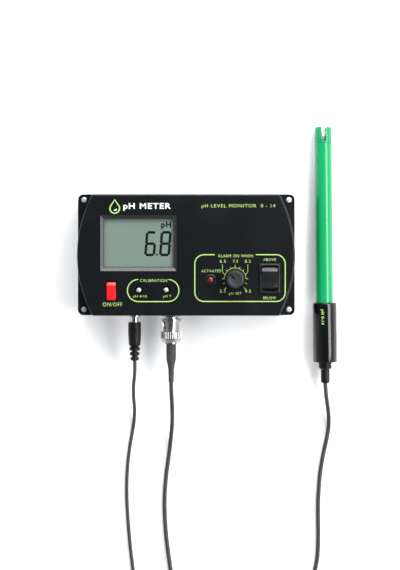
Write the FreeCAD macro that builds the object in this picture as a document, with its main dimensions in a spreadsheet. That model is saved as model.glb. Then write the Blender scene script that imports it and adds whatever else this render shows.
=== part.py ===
"""A wall-mounting pH monitor with its electrode and its mains adapter.

The case lies on its back.  The origin is the middle of the case's back face, +Z comes out of the
front panel, +Y is up the panel and +X is to the right.  Every length is in millimetres.
"""
import FreeCAD, Part
import Sketcher
import math
import os

os.makedirs("parts", exist_ok=True)
doc = FreeCAD.newDocument("ph_meter")
sheet = doc.addObject("Spreadsheet::Sheet", "sizes")

# ---------------------------------------------------------------- sizes and their formulas


class Size:
    """A length that knows its number and the formula of sheet cells it comes from."""

    def __init__(self, value, formula):
        self.value = float(value)
        self.formula = formula

    def __add__(self, other):
        return joined(self, "+", other, self.value + number(other))

    def __radd__(self, other):
        return joined(other, "+", self, number(other) + self.value)

    def __sub__(self, other):
        return joined(self, "-", other, self.value - number(other))

    def __rsub__(self, other):
        return joined(other, "-", self, number(other) - self.value)

    def __mul__(self, other):
        return joined(self, "*", other, self.value * number(other))

    def __rmul__(self, other):
        return joined(other, "*", self, number(other) * self.value)

    def __truediv__(self, other):
        return joined(self, "/", other, self.value / number(other))

    def __neg__(self):
        return joined(0, "-", self, -self.value)


def number(item):
    return item.value if isinstance(item, Size) else float(item)


def formula(item):
    return item.formula if isinstance(item, Size) else "%.6f" % item


def joined(left, sign, right, value):
    return Size(value, "(%s %s %s)" % (formula(left), sign, formula(right)))


zero = Size(0, "0")
rows = []


def size(alias, value, note):
    """Writes one driving dimension into the sheet and gives it back as a Size."""
    rows.append(alias)
    row = len(rows)
    sheet.set("A%d" % row, note)
    sheet.set("B%d" % row, str(value))
    sheet.setAlias("B%d" % row, alias)
    return Size(value, "sizes." + alias)


# the case
case_wide = size("case_wide", 150, "width of the case")
case_high = size("case_high", 83.6, "height of the case, along Y")
case_deep = size("case_deep", 36, "depth of the case, back face to front panel")
case_wall = size("case_wall", 2.5, "wall of the case")
tray_deep = size("tray_deep", 12, "depth of the back tray")
ear_drop = size("ear_drop", 7, "how far the corner ears lie behind the panel")
corner_round = size("corner_round", 3.7, "radius of the case's corners")
bow_inset = size("bow_inset", 10.5, "how far the bowed sides come in at the panel's corners")
panel_round = size("panel_round", 2.2, "radius of the raised panel's corners")
panel_bevel = size("panel_bevel", 1.3, "rounding round the panel's front edge")
post_side = size("post_side", 9, "side of the square corner posts")
lip_tall = size("lip_tall", 2, "height of the tray's locating lip")
lip_thick = size("lip_thick", 1.1, "thickness of the lip")
lip_gap = size("lip_gap", 0.15, "gap round the lip")
screw_pitch_x = size("screw_pitch_x", 142, "case screws, centre to centre along X")
screw_pitch_y = size("screw_pitch_y", 76, "case screws, centre to centre along Y")
screw_radius = size("screw_radius", 1.45, "shank of the case screws")
screw_head = size("screw_head", 2.2, "head radius of the case screws")
screw_sink = size("screw_sink", 1.9, "depth of the recess for a case screw's head")
screw_gap = size("screw_gap", 0.1, "gap round a screw's shank")
wall_hole_pitch = size("wall_hole_pitch", 100, "wall fixing holes, centre to centre")
wall_hole_radius = size("wall_hole_radius", 2.25, "wall fixing holes in the tray's back")

# the display
display_x = size("display_x", -32.7, "middle of the display")
display_y = size("display_y", 8.1, "middle of the display")
window_wide = size("window_wide", 52.7, "display window in the panel")
window_high = size("window_high", 38.7, "display window in the panel")
view_wide = size("view_wide", 47.9, "part of the display that shows")
view_high = size("view_high", 33.1, "part of the display that shows")
bezel_flange = size("bezel_flange", 1.6, "width of the bezel's flange behind the panel")
flange_thick = size("flange_thick", 1, "thickness of the bezel's flange")
glass_thick = size("glass_thick", 2.8, "display glass, both sheets")
glass_margin = size("glass_margin", 1.9, "display glass beyond the part that shows")
strip_wide = size("strip_wide", 2, "rubber contact strip")
fit_gap = size("fit_gap", 0.15, "gap between pieces that drop into each other")

# the circuit board
board_low_x = size("board_low_x", -61.4, "left edge of the board")
board_high_x = size("board_high_x", 0.6, "right edge of the board")
board_below = size("board_below", 9.3, "lower edge of the board below the trimmers")
board_above = size("board_above", 7.15, "upper edge of the board above the display window")
board_thick = size("board_thick", 1.6, "thickness of the board")
board_behind = size("board_behind", 10, "the panel's face to the board's back")
pillar_radius = size("pillar_radius", 2.3, "screw pillars behind the panel")
board_screw_radius = size("board_screw_radius", 1.1, "shank of the board screws")
board_head = size("board_head", 2.1, "head radius of the board screws")

# the controls on the panel
power_x = size("power_x", -51.4, "middle of the on/off rocker")
power_below = size("power_below", 13.15, "middle of the on/off rocker below the display window")
power_rocker_wide = size("power_rocker_wide", 6.2, "width of the on/off rocker")
power_rocker_long = size("power_rocker_long", 13.2, "length of the on/off rocker")
alarm_x = size("alarm_x", 57.4, "middle of the alarm switch")
alarm_y = size("alarm_y", -16, "middle of the alarm switch")
alarm_frame_wide = size("alarm_frame_wide", 14.8, "alarm switch's rim")
alarm_frame_high = size("alarm_frame_high", 21, "alarm switch's rim")
alarm_rim_tall = size("alarm_rim_tall", 1.8, "how far the alarm switch's rim stands up")
alarm_body_wide = size("alarm_body_wide", 12.8, "alarm switch's body behind the panel")
alarm_body_high = size("alarm_body_high", 19.2, "alarm switch's body behind the panel")
alarm_body_deep = size("alarm_body_deep", 13, "alarm switch's body behind the panel")
alarm_rocker_wide = size("alarm_rocker_wide", 11, "width of the alarm rocker")
alarm_rocker_long = size("alarm_rocker_long", 16.4, "length of the alarm rocker")
rocker_tilt = size("rocker_tilt", 8, "tilt of a rocker from level, degrees")
rocker_gap = size("rocker_gap", 0.3, "gap round a rocker")
power_reach = size("power_reach", 2.3, "how far the on/off rocker reaches below its pivot")
alarm_reach = size("alarm_reach", 4, "how far the alarm rocker reaches below its pivot")
pin_radius = size("pin_radius", 0.45, "pins of the on/off switch")
pin_pitch = size("pin_pitch", 4.7, "pins of the on/off switch, centre to centre")
trunnion_radius = size("trunnion_radius", 0.9, "pivot stubs of a rocker")
running_gap = size("running_gap", 0.05, "radial gap of a turning fit")
knob_x = size("knob_x", 33.7, "middle of the set-point knob")
knob_y = size("knob_y", -16.3, "middle of the set-point knob")
knob_skirt = size("knob_skirt", 6.5, "radius of the knob's skirt")
knob_top = size("knob_top", 5.55, "radius of the knob's top")
knob_tall = size("knob_tall", 12, "height of the knob")
knob_lift = size("knob_lift", 0.6, "gap under the knob")
knob_point = size("knob_point", 135, "where the knob's pointer stands, degrees from +X")
shaft_radius = size("shaft_radius", 3, "shaft of the set-point control")
bushing_radius = size("bushing_radius", 3.9, "threaded bushing of the set-point control")
control_nut_half = size("control_nut_half", 4.9, "half the width across flats of the control's nut")
control_nut_thick = size("control_nut_thick", 2, "thickness of the control's nut")
knob_recess = size("knob_recess", 5.75, "radius of the hollow under the knob")
knob_recess_deep = size("knob_recess_deep", 4, "depth of the hollow under the knob")
control_radius = size("control_radius", 8.2, "can of the set-point control")
control_deep = size("control_deep", 8, "can of the set-point control")
led_x = size("led_x", 16.9, "middle of the alarm lamp")
led_y = size("led_y", -17, "middle of the alarm lamp")
led_radius = size("led_radius", 2.45, "dome of the alarm lamp")
led_ring = size("led_ring", 3.85, "flange of the lamp's bezel")
trimmer_below = size("trimmer_below", 12.85, "middle of both trimmers below the display window")
offset_x = size("offset_x", -13.8, "middle of the offset trimmer")
slope_x = size("slope_x", -32.5, "middle of the slope trimmer")
trimmer_side = size("trimmer_side", 9.4, "side of a trimmer's housing")
trimmer_screw = size("trimmer_screw", 2.05, "head radius of a trimmer's screw")
trimmer_hole = size("trimmer_hole", 2.95, "panel hole over a trimmer")

# the sockets on the lower edge and what is plugged in
socket_level = size("socket_level", 20, "height of both sockets over the case's back face")
jack_x = size("jack_x", -36.4, "middle of the power jack")
jack_collar = size("jack_collar", 4.2, "collar of the power jack")
jack_thread = size("jack_thread", 3.6, "threaded barrel of the power jack")
jack_bore = size("jack_bore", 2.85, "bore of the power jack")
jack_inside = size("jack_inside", 10.3, "length of the power jack inside the case")
jack_nose = size("jack_nose", 2, "how far the power jack stands out")
jack_nut_half = size("jack_nut_half", 5, "half the width across flats of the jack's nut")
jack_nut_thick = size("jack_nut_thick", 2, "thickness of the jack's nut")
plug_barrel = size("plug_barrel", 2.75, "radius of the power plug's barrel")
plug_bore = size("plug_bore", 1.25, "bore of the power plug's barrel")
plug_bare = size("plug_bare", 3.6, "bare barrel between jack and grip")
plug_reach = size("plug_reach", 5.8, "barrel inside the jack")
plug_grip = size("plug_grip", 4.6, "radius of the power plug's grip")
plug_grip_long = size("plug_grip_long", 16.4, "length of the grip")
plug_relief_long = size("plug_relief_long", 10.4, "length of the ribbed strain relief")
bnc_x = size("bnc_x", -10.9, "middle of the electrode socket")
bnc_thread = size("bnc_thread", 4.75, "threaded barrel of the electrode socket")
bnc_flange = size("bnc_flange", 1.1, "how far the socket's inner flange stands out")
contact_radius = size("contact_radius", 0.95, "centre contact of the electrode socket")
contact_inside = size("contact_inside", 8, "how far that contact reaches inside the case")
bnc_nut_half = size("bnc_nut_half", 5.7, "half the width across flats of its nut")
bnc_nut_thick = size("bnc_nut_thick", 1.7, "thickness of its nut")
bnc_nose = size("bnc_nose", 4.8, "outside radius of the socket's nose")
bnc_nose_long = size("bnc_nose_long", 12.6, "length of the nose outside the case")
bnc_mouth = size("bnc_mouth", 4.15, "bore of the nose")
stud_radius = size("stud_radius", 0.95, "radius of the bayonet studs")
stud_reach = size("stud_reach", 5.4, "how far the studs stand from the axis")
stud_along = size("stud_along", 7.2, "studs, distance from the case's lower wall")
ring_start = size("ring_start", 2.9, "gap between the case and the bayonet ring")
ring_rim = size("ring_rim", 6.95, "radius of the ring's front rim")
ring_rim_long = size("ring_rim_long", 2, "length of the front rim")
ring_sleeve = size("ring_sleeve", 5.6, "radius of the ring's sleeve")
ring_sleeve_long = size("ring_sleeve_long", 7.1, "length of the sleeve")
ring_grip = size("ring_grip", 7.25, "radius of the knurled grip")
ring_grip_long = size("ring_grip_long", 4.7, "length of the knurled grip")
knurl_radius = size("knurl_radius", 0.55, "radius of a groove in the knurl")
ring_tail = size("ring_tail", 5.9, "radius of the ring's back edge")
ring_tail_long = size("ring_tail_long", 2.8, "length of the taper behind the grip")
ring_turn = size("ring_turn", 60, "how far the ring turns, degrees")
bnc_pin_radius = size("bnc_pin_radius", 0.5, "centre pin of the electrode's plug")
neck_radius = size("neck_radius", 4.3, "neck that the ring turns on")
boot_radius = size("boot_radius", 3.4, "radius of the boot behind the ring")
boot_long = size("boot_long", 12, "length of the boot's thick part")
boot_taper_long = size("boot_taper_long", 3.5, "length of the boot's taper")
boot_end = size("boot_end", 1.85, "radius of the boot's thin end")
boot_end_long = size("boot_end_long", 11.8, "length of the boot's thin end")

# the electrode, in its own frame: +Y runs from the cap's front edge to the tip
probe_gap = size("probe_gap", 22.4, "the case's side to the electrode's axis")
probe_y = size("probe_y", -34.4, "electrode, at the cap's front edge")
probe_yaw = size("probe_yaw", 0.4, "how far the electrode is turned on the table, degrees")
tube_radius = size("tube_radius", 6, "outside radius of the electrode's body")
tube_wall = size("tube_wall", 1.3, "wall of the electrode's body")
tube_long = size("tube_long", 113, "length of the body outside the cap")
tube_in_cap = size("tube_in_cap", 24, "length of the body inside the cap")
tube_step = size("tube_step", 0.4, "how far the body is turned down inside the cap")
joint_chamfer = size("joint_chamfer", 0.3, "chamfer on the body and on the guard where they meet")
guard_long = size("guard_long", 11.3, "length of the slotted guard past the body")
guard_slot = size("guard_slot", 3.4, "width of a slot in the guard")
guard_spigot = size("guard_spigot", 8, "length of the guard inside the body")
bulb_radius = size("bulb_radius", 3.7, "glass bulb at the tip")
stem_radius = size("stem_radius", 2.4, "glass stem of the bulb")
wire_radius = size("wire_radius", 0.3, "reference wire inside the body")
cap_radius = size("cap_radius", 8.5, "radius of the cap")
cap_long = size("cap_long", 42, "length of the cap")
cap_round = size("cap_round", 1.5, "rounding of the cap's front edge")
relief_radius = size("relief_radius", 4.65, "collar of the electrode's strain relief")
relief_collar_long = size("relief_collar_long", 5, "length of that collar")
relief_sleeve = size("relief_sleeve", 3.1, "radius of the relief's sleeve")
relief_long = size("relief_long", 15, "length of the strain relief")

# the leads and the adapter
power_lead_radius = size("power_lead_radius", 1.25, "radius of the power lead")
probe_lead_radius = size("probe_lead_radius", 1.5, "radius of the electrode's lead")
coil_floor = size("coil_floor", 0.05, "gap under a coil")
power_coil_middle = size("power_coil_middle", 14, "radius of the power coil at the middle of its turns")
power_coil_wide = size("power_coil_wide", 10.4, "width of the power coil's turns")
power_coil_tall = size("power_coil_tall", 9.4, "height of the power coil")
probe_coil_middle = size("probe_coil_middle", 17, "radius of the electrode coil at its turns' middle")
probe_coil_wide = size("probe_coil_wide", 9.4, "width of the electrode coil's turns")
probe_coil_tall = size("probe_coil_tall", 5.9, "height of the electrode coil")
adapter_long = size("adapter_long", 56, "length of the adapter, along X")
adapter_wide = size("adapter_wide", 42, "width of the adapter, along Y")
adapter_tall = size("adapter_tall", 26, "height of the adapter")
adapter_shell = size("adapter_shell", 2, "wall of the adapter's shells")
adapter_round = size("adapter_round", 4, "radius of the adapter's corners")
adapter_x = size("adapter_x", -103, "end of the adapter that the lead enters")
adapter_y = size("adapter_y", -270, "middle of the adapter")
blade_wide = size("blade_wide", 6.3, "width of a contact blade")
blade_thick = size("blade_thick", 1.5, "thickness of a contact blade")
blade_long = size("blade_long", 17, "length of a contact blade")
blade_pitch = size("blade_pitch", 12.7, "contact blades, centre to centre")
adapter_relief_long = size("adapter_relief_long", 14, "length of the adapter's strain relief")
adapter_relief = size("adapter_relief", 3.6, "thick end of the adapter's strain relief")

half_wide = case_wide / 2
half_high = case_high / 2
window_low = display_y - window_high / 2
power_y = window_low - power_below
trimmer_y = window_low - trimmer_below
board_low_y = trimmer_y - board_below
board_high_y = display_y + window_high / 2 + board_above
board_back = case_deep - board_behind
probe_x = half_wide + probe_gap
wall_out = -half_high
wall_in = case_wall - half_high
ear_level = case_deep - ear_drop
panel_back = case_deep - case_wall
board_front = board_back + board_thick

# ---------------------------------------------------------------- ways of making solids

X = FreeCAD.Vector(1, 0, 0)
Y = FreeCAD.Vector(0, 1, 0)
Z = FreeCAD.Vector(0, 0, 1)


def bind(thing, **properties):
    """Sets each property from its formula, so that it follows the sheet."""
    for name, item in properties.items():
        thing.setExpression(name, formula(item))


def put(thing, place, axis=Z):
    """Turns a thing's own Z to the axis and binds its place."""
    thing.Placement = FreeCAD.Placement(FreeCAD.Vector(), FreeCAD.Rotation(Z, axis))
    for letter, item in zip("xyz", place):
        thing.setExpression("Placement.Base." + letter, formula(item))
    return thing


def block(name, low, high):
    """A box from its lowest corner to its highest."""
    thing = doc.addObject("Part::Box", name)
    bind(thing, Length=high[0] - low[0], Width=high[1] - low[1], Height=high[2] - low[2])
    return put(thing, low)


def centred_block(name, middle, wide, high, bottom, top):
    """A box by its middle in plan, its width and height in plan, and its two levels."""
    low = (middle[0] - wide / 2, middle[1] - high / 2, bottom)
    return block(name, low, (middle[0] + wide / 2, middle[1] + high / 2, top))


def rod(name, start, axis, radius, length):
    thing = doc.addObject("Part::Cylinder", name)
    bind(thing, Radius=radius, Height=length)
    return put(thing, start, axis)


def taper(name, start, axis, radius, end_radius, length):
    thing = doc.addObject("Part::Cone", name)
    bind(thing, Radius1=radius, Radius2=end_radius, Height=length)
    return put(thing, start, axis)


def hexagon(name, start, axis, half_flat, length):
    """A six-sided bar, by half its width across flats."""
    thing = doc.addObject("Part::Prism", name)
    thing.Polygon = 6
    bind(thing, Circumradius=half_flat / math.cos(math.pi / 6), Height=length)
    return put(thing, start, axis)


def cut(name, base, tools):
    """Takes every tool away from the base."""
    if len(tools) > 1:
        tool = doc.addObject("Part::MultiFuse", name + "_holes")
        tool.Shapes = tools
    else:
        tool = tools[0]
    thing = doc.addObject("Part::Cut", name)
    thing.Base = base
    thing.Tool = tool
    return thing


def fuse(name, pieces):
    thing = doc.addObject("Part::MultiFuse", name)
    thing.Shapes = pieces
    return thing


def group(name, pieces):
    """Separate identical solids under one name."""
    thing = doc.addObject("Part::Compound", name)
    thing.Links = pieces
    return thing


def new_body(name):
    body = doc.addObject("PartDesign::Body", name)
    body.Label = name
    return body


def sketch_in(body, name, role, lift=0):
    """An empty sketch on one of the body's own planes, raised along that plane's normal."""
    plane = [item for item in body.Origin.OriginFeatures if item.Role == role][0]
    sketch = body.newObject("Sketcher::SketchObject", body.Name + "_" + name)
    sketch.AttachmentSupport = [(plane, "")]
    sketch.MapMode = "FlatFace"
    sketch.setExpression("AttachmentOffset.Base.z", formula(lift))
    return sketch


def hold(sketch, corner, end, place):
    """Ties the end of a sketch's line to a place by two bound distances."""
    for kind, item in zip(("DistanceX", "DistanceY"), place):
        index = sketch.addConstraint(Sketcher.Constraint(kind, -1, 1, corner, end, number(item)))
        sketch.setExpression("Constraints[%d]" % index, formula(item))


def draw_outline(sketch, corners):
    """A closed outline of straight lines through the corners."""
    points = [FreeCAD.Vector(number(x), number(y), 0) for x, y in corners]
    first = sketch.GeometryCount
    for index, point in enumerate(points):
        sketch.addGeometry(Part.LineSegment(point, points[(index + 1) % len(points)]), False)
    for index, place in enumerate(corners):
        line = first + index
        after = first + (index + 1) % len(points)
        sketch.addConstraint(Sketcher.Constraint("Coincident", line, 2, after, 1))
        hold(sketch, line, 1, place)


def draw_circles(sketch, middles, radius):
    for x, y in middles:
        middle = FreeCAD.Vector(number(x), number(y), 0)
        circle = sketch.addGeometry(Part.Circle(middle, Z, number(radius)), False)
        hold(sketch, circle, 3, (x, y))
        index = sketch.addConstraint(Sketcher.Constraint("Radius", circle, number(radius)))
        sketch.setExpression("Constraints[%d]" % index, formula(radius))


def pad(body, sketch, length):
    feature = body.newObject("PartDesign::Pad", sketch.Name + "_pad")
    feature.Profile = sketch
    bind(feature, Length=length)
    sketch.Visibility = False
    return feature


def pocket(body, sketch, depth):
    """Cuts the sketch along its own normal, so upwards from the level that it lies on."""
    feature = body.newObject("PartDesign::Pocket", sketch.Name + "_pocket")
    feature.Profile = sketch
    feature.Reversed = True
    bind(feature, Length=depth)
    sketch.Visibility = False
    return feature


def round_edges(body, feature, radius, wanted):
    """Rounds the edges of a feature whose middle point passes the test."""
    doc.recompute()
    names = []
    for index, edge in enumerate(feature.Shape.Edges):
        middle = edge.valueAt((edge.FirstParameter + edge.LastParameter) / 2)
        if wanted(edge, middle):
            names.append("Edge%d" % (index + 1))
    fillet = body.newObject("PartDesign::Fillet", feature.Name + "_rounding")
    fillet.Base = (feature, names)
    bind(fillet, Radius=radius)
    return fillet


def turned(name, role, profile):
    """A piece turned on a lathe: (radius, along) corners, spun about the sketch's upright axis."""
    body = new_body(name)
    sketch = sketch_in(body, "profile", role)
    draw_outline(sketch, profile)
    feature = body.newObject("PartDesign::Revolution", name + "_turning")
    feature.Profile = sketch
    feature.ReferenceAxis = (sketch, ["V_Axis"])
    feature.Angle = 360
    sketch.Visibility = False
    return body


def is_upright(edge):
    return abs(edge.tangentAt(edge.FirstParameter).z) > 0.999

# ---------------------------------------------------------------- the case


def cross(half_x, half_y, corner_x, corner_y):
    """Corners of a rectangle with its four corners notched out square."""
    inner_x = half_x - corner_x
    inner_y = half_y - corner_y
    return [(half_x, -inner_y), (half_x, inner_y), (inner_x, inner_y), (inner_x, half_y),
            (-inner_x, half_y), (-inner_x, inner_y), (-half_x, inner_y), (-half_x, -inner_y),
            (-inner_x, -inner_y), (-inner_x, -half_y), (inner_x, -half_y), (inner_x, -inner_y)]


def rectangle(half_x, half_y):
    return [(-half_x, -half_y), (half_x, -half_y), (half_x, half_y), (-half_x, half_y)]


screw_places = [(screw_pitch_x / 2 * sx, screw_pitch_y / 2 * sy)
                for sx in (-1, 1) for sy in (-1, 1)]
cavity_x = half_wide - case_wall
cavity_y = half_high - case_wall


def draw_bowed_panel(sketch):
    """The raised panel: level top and bottom, and sides that bow out to the case's full width."""
    edge_x = half_wide - bow_inset
    bow = (half_high * half_high + bow_inset * bow_inset) / (2 * bow_inset)
    right = FreeCAD.Vector(number(edge_x), number(half_high), 0)
    left = FreeCAD.Vector(-right.x, right.y, 0)
    below = FreeCAD.Vector(0, -2 * right.y, 0)
    bulge = FreeCAD.Vector(number(half_wide), 0, 0)
    sketch.addGeometry(Part.LineSegment(right, left), False)
    sketch.addGeometry(Part.Arc(left, -bulge, left + below), False)
    sketch.addGeometry(Part.LineSegment(left + below, right + below), False)
    sketch.addGeometry(Part.Arc(right + below, bulge, right), False)
    # an arc's ends run anticlockwise, as do the four pieces of this outline
    for piece in range(4):
        sketch.addConstraint(Sketcher.Constraint("Coincident", piece, 2, (piece + 1) % 4, 1))
    hold(sketch, 0, 1, (edge_x, half_high))
    hold(sketch, 0, 2, (-edge_x, half_high))
    hold(sketch, 2, 1, (-edge_x, -half_high))
    hold(sketch, 2, 2, (edge_x, -half_high))
    for arc in (1, 3):
        index = sketch.addConstraint(Sketcher.Constraint("Radius", arc, number(bow)))
        sketch.setExpression("Constraints[%d]" % index, formula(bow))


def make_tray():
    """The back tray: walls, a locating lip, four corner posts and two wall-fixing holes."""
    body = new_body("base_tray_shell")
    outer = sketch_in(body, "outline", "XY_Plane")
    draw_outline(outer, rectangle(half_wide, half_high))
    shell = pad(body, outer, tray_deep)
    round_edges(body, shell, corner_round, lambda edge, middle: is_upright(edge))
    corner = post_side - case_wall - lip_gap
    lip = sketch_in(body, "lip", "XY_Plane", tray_deep)
    draw_outline(lip, cross(cavity_x - lip_gap, cavity_y - lip_gap, corner, corner))
    pad(body, lip, lip_tall)
    step = lip_gap + lip_thick
    inside = sketch_in(body, "inside", "XY_Plane", case_wall)
    draw_outline(inside, cross(cavity_x - step, cavity_y - step, corner, corner))
    pocket(body, inside, tray_deep + lip_tall)
    holes = [rod("tray_pilot_%d" % index, (x, y, case_wall), Z, screw_radius + screw_gap, tray_deep)
             for index, (x, y) in enumerate(screw_places)]
    holes += [rod("tray_wall_hole_%d" % index, (wall_hole_pitch / 2 * side, 0, -1), Z,
                  wall_hole_radius, case_wall + 2) for index, side in enumerate((-1, 1))]
    reach = bnc_thread + bnc_flange + 0.2
    notch = block("tray_lip_notch", (bnc_x - reach, wall_in - 0.5, socket_level - reach),
                  (bnc_x + reach, wall_in + 4, socket_level))
    return cut("base_tray", body, holes + [notch])


def make_cover():
    """The front cover: corner ears, the raised bowed panel, pillars, and every panel opening."""
    body = new_body("front_cover_shell")
    ears = sketch_in(body, "ears", "XY_Plane", tray_deep)
    draw_outline(ears, rectangle(half_wide, half_high))
    block_of_ears = pad(body, ears, ear_level - tray_deep)
    round_edges(body, block_of_ears, corner_round, lambda edge, middle: is_upright(edge))
    raised = sketch_in(body, "raised", "XY_Plane", tray_deep)
    draw_bowed_panel(raised)
    panel = pad(body, raised, case_deep - tray_deep)
    level = number(ear_level)
    rounded = round_edges(body, panel, panel_round,
                          lambda edge, middle: is_upright(edge) and middle.z > level)
    round_edges(body, rounded, panel_bevel,
                lambda edge, middle: abs(middle.z - number(case_deep)) < 0.001)
    low = sketch_in(body, "low_inside", "XY_Plane", tray_deep)
    draw_outline(low, cross(cavity_x, cavity_y, post_side - case_wall, post_side - case_wall))
    pocket(body, low, ear_level - case_wall - tray_deep)
    deep_x = half_wide - bow_inset + 1.5
    deep = sketch_in(body, "deep_inside", "XY_Plane", tray_deep)
    draw_outline(deep, cross(deep_x, cavity_y, case_wall + 1.5, bow_inset))
    pocket(body, deep, panel_back - tray_deep)
    pillars = [rod("pillar_%d" % index, (x, y, board_front), Z, pillar_radius,
                   panel_back - board_front + 0.5) for index, (x, y) in enumerate(pillar_places)]
    solid = fuse("front_cover_body", [body] + pillars)
    return cut("front_cover", solid, cover_openings())


pillar_places = [(x, y) for x in (board_low_x + pillar_radius + 0.4, board_high_x - pillar_radius - 0.4)
                 for y in (board_low_y + pillar_radius + 0.4, board_high_y - pillar_radius - 0.4)]
power_hole_half = power_rocker_long / 2 + rocker_gap
alarm_hole = (alarm_body_wide + 2 * fit_gap, alarm_body_high + 2 * fit_gap)


def cover_openings():
    """The holes for screws, display, controls and sockets."""
    holes = []
    for index, (x, y) in enumerate(screw_places):
        holes.append(rod("cover_screw_hole_%d" % index, (x, y, 0), Z, screw_radius + screw_gap, case_deep))
        holes.append(rod("cover_head_hole_%d" % index, (x, y, ear_level - screw_sink), Z,
                         screw_head + 2 * screw_gap, case_deep))
    for index, (x, y) in enumerate(pillar_places):
        holes.append(rod("pillar_hole_%d" % index, (x, y, board_back), Z,
                         board_screw_radius + screw_gap, board_thick + 4.5))
    holes.append(centred_block("window_hole", (display_x, display_y), window_wide + 2 * fit_gap,
                               window_high + 2 * fit_gap, board_back, case_deep + 1))
    holes.append(centred_block("power_hole", (power_x, power_y), power_rocker_wide + 2 * rocker_gap,
                               2 * power_hole_half, panel_back - 1, case_deep + 1))
    holes.append(centred_block("alarm_hole", (alarm_x, alarm_y), alarm_hole[0], alarm_hole[1],
                               panel_back - 1, case_deep + 1))
    holes.append(rod("control_hole", (knob_x, knob_y, panel_back - 1), Z, bushing_radius + fit_gap, 6))
    holes.append(rod("led_hole", (led_x, led_y, panel_back - 1), Z, led_sleeve + 0.05, 6))
    for name, x in (("offset", offset_x), ("slope", slope_x)):
        holes.append(rod(name + "_hole", (x, trimmer_y, panel_back - 1), Z, trimmer_hole, 6))
    wall_start = -half_high - 1
    holes.append(rod("jack_hole", (jack_x, wall_start, socket_level), Y, jack_thread + fit_gap, 6))
    holes.append(rod("bnc_hole", (bnc_x, wall_start, socket_level), Y, bnc_thread + fit_gap, 6))
    return holes


led_sleeve = led_radius + 0.75


def cross_recess(name, place, reach, wide, top, deep):
    """Two crossed bars that cut the driving recess of a screw."""
    bars = [centred_block(name + "_bar_x", place, 2 * reach, wide, top - deep, top + 1),
            centred_block(name + "_bar_y", place, wide, 2 * reach, top - deep, top + 1)]
    return bars


def make_case_screws():
    """Four pan-head screws down the corner ears into the tray's posts."""
    screws = []
    seat = ear_level - screw_sink
    for index, (x, y) in enumerate(screw_places):
        tip = case_wall + 1
        shank = rod("case_shank_%d" % index, (x, y, tip), Z, screw_radius, seat - tip)
        head = rod("case_head_%d" % index, (x, y, seat), Z, screw_head, screw_sink - 0.3)
        solid = fuse("case_screw_%d" % index, [shank, head])
        bars = cross_recess("case_recess_%d" % index, (x, y), screw_head * 0.62, 0.7,
                            ear_level - 0.3, 0.8)
        screws.append(cut("case_screw_solid_%d" % index, solid, bars))
    return group("case_screws", screws)


# ---------------------------------------------------------------- display and circuit board

display = (display_x, display_y)
flange_wide = window_wide + 2 * bezel_flange
flange_high = window_high + 2 * bezel_flange
flange_back = panel_back - flange_thick
glass_wide = view_wide + 2 * glass_margin
glass_high = view_high + 2 * glass_margin
glass_back = flange_back - glass_thick


def make_display_bezel():
    """The window's bevelled frame, with a flange that sits behind the panel."""
    flange = centred_block("bezel_flange_block", display, flange_wide, flange_high, flange_back, panel_back)
    frame = centred_block("bezel_frame_block", display, window_wide, window_high, flange_back,
                          case_deep - 0.1)
    bevel = doc.addObject("Part::Wedge", "bezel_bevel")
    for name, item in (("Xmin", -view_wide / 2), ("Xmax", view_wide / 2),
                       ("Zmin", -view_high / 2), ("Zmax", view_high / 2),
                       ("X2min", 0.6 - window_wide / 2), ("X2max", window_wide / 2 - 0.6),
                       ("Z2min", 0.6 - window_high / 2), ("Z2max", window_high / 2 - 0.6),
                       ("Ymin", zero), ("Ymax", case_deep - flange_back)):
        bevel.setExpression(name, formula(item))
    put(bevel, (display_x, display_y, flange_back))
    bevel.Placement.Rotation = FreeCAD.Rotation(X, 90)
    return cut("display_bezel", fuse("bezel_body", [flange, frame]), [bevel])


def make_display_stack():
    """Glass cell, the frame round it and the two rubber strips that join it to the board."""
    glass = centred_block("display_glass", display, glass_wide, glass_high, glass_back, flange_back)
    outer = centred_block("holder_block", display, flange_wide, flange_high, board_front, flange_back)
    inner = centred_block("holder_hole", display, glass_wide + 2 * fit_gap, glass_high + 2 * fit_gap,
                          board_front - 1, flange_back + 1)
    holder = cut("display_holder", outer, [inner])
    strips = [centred_block("strip_%d" % index, (display_x, display_y + side * (glass_high / 2 - 2)),
                            view_wide, strip_wide, board_front, glass_back)
              for index, side in enumerate((-1, 1))]
    return [glass, holder, group("contact_strips", strips)]


def make_board():
    """The circuit board with its screw holes and the holes for the switch's pins."""
    low = (board_low_x, board_low_y, board_back)
    plate = block("board_plate", low, (board_high_x, board_high_y, board_front))
    notches = [block(name, (x - half - 0.5, board_low_y - 1, board_back - 1),
                     (x + half + 0.5, wall_in + inside + 0.5, board_front + 1))
               for name, x, half, inside in (("jack_notch", jack_x, jack_thread, jack_inside),
                                             ("contact_notch", bnc_x, contact_radius, contact_inside))]
    holes = [rod("board_hole_%d" % index, (x, y, board_back - 1), Z, board_screw_radius + screw_gap,
                 board_thick + 2) for index, (x, y) in enumerate(pillar_places)]
    holes += [rod("pin_hole_%d" % index, (x, y, board_back - 1), Z, pin_radius + screw_gap,
                  board_thick + 2) for index, (x, y) in enumerate(pin_places)]
    return cut("main_board", plate, holes + notches)


pin_places = [(power_x, power_y + step * pin_pitch) for step in (-1, 0, 1)]


def make_board_screws():
    """Four screws from behind the board into the pillars."""
    screws = []
    for index, (x, y) in enumerate(pillar_places):
        shank = rod("board_shank_%d" % index, (x, y, board_back), Z, board_screw_radius, board_thick + 3.5)
        head = rod("board_head_%d" % index, (x, y, board_back - 1.4), Z, board_head, 1.4)
        screws.append(fuse("board_screw_%d" % index, [shank, head]))
    return group("board_screws", screws)


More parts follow.
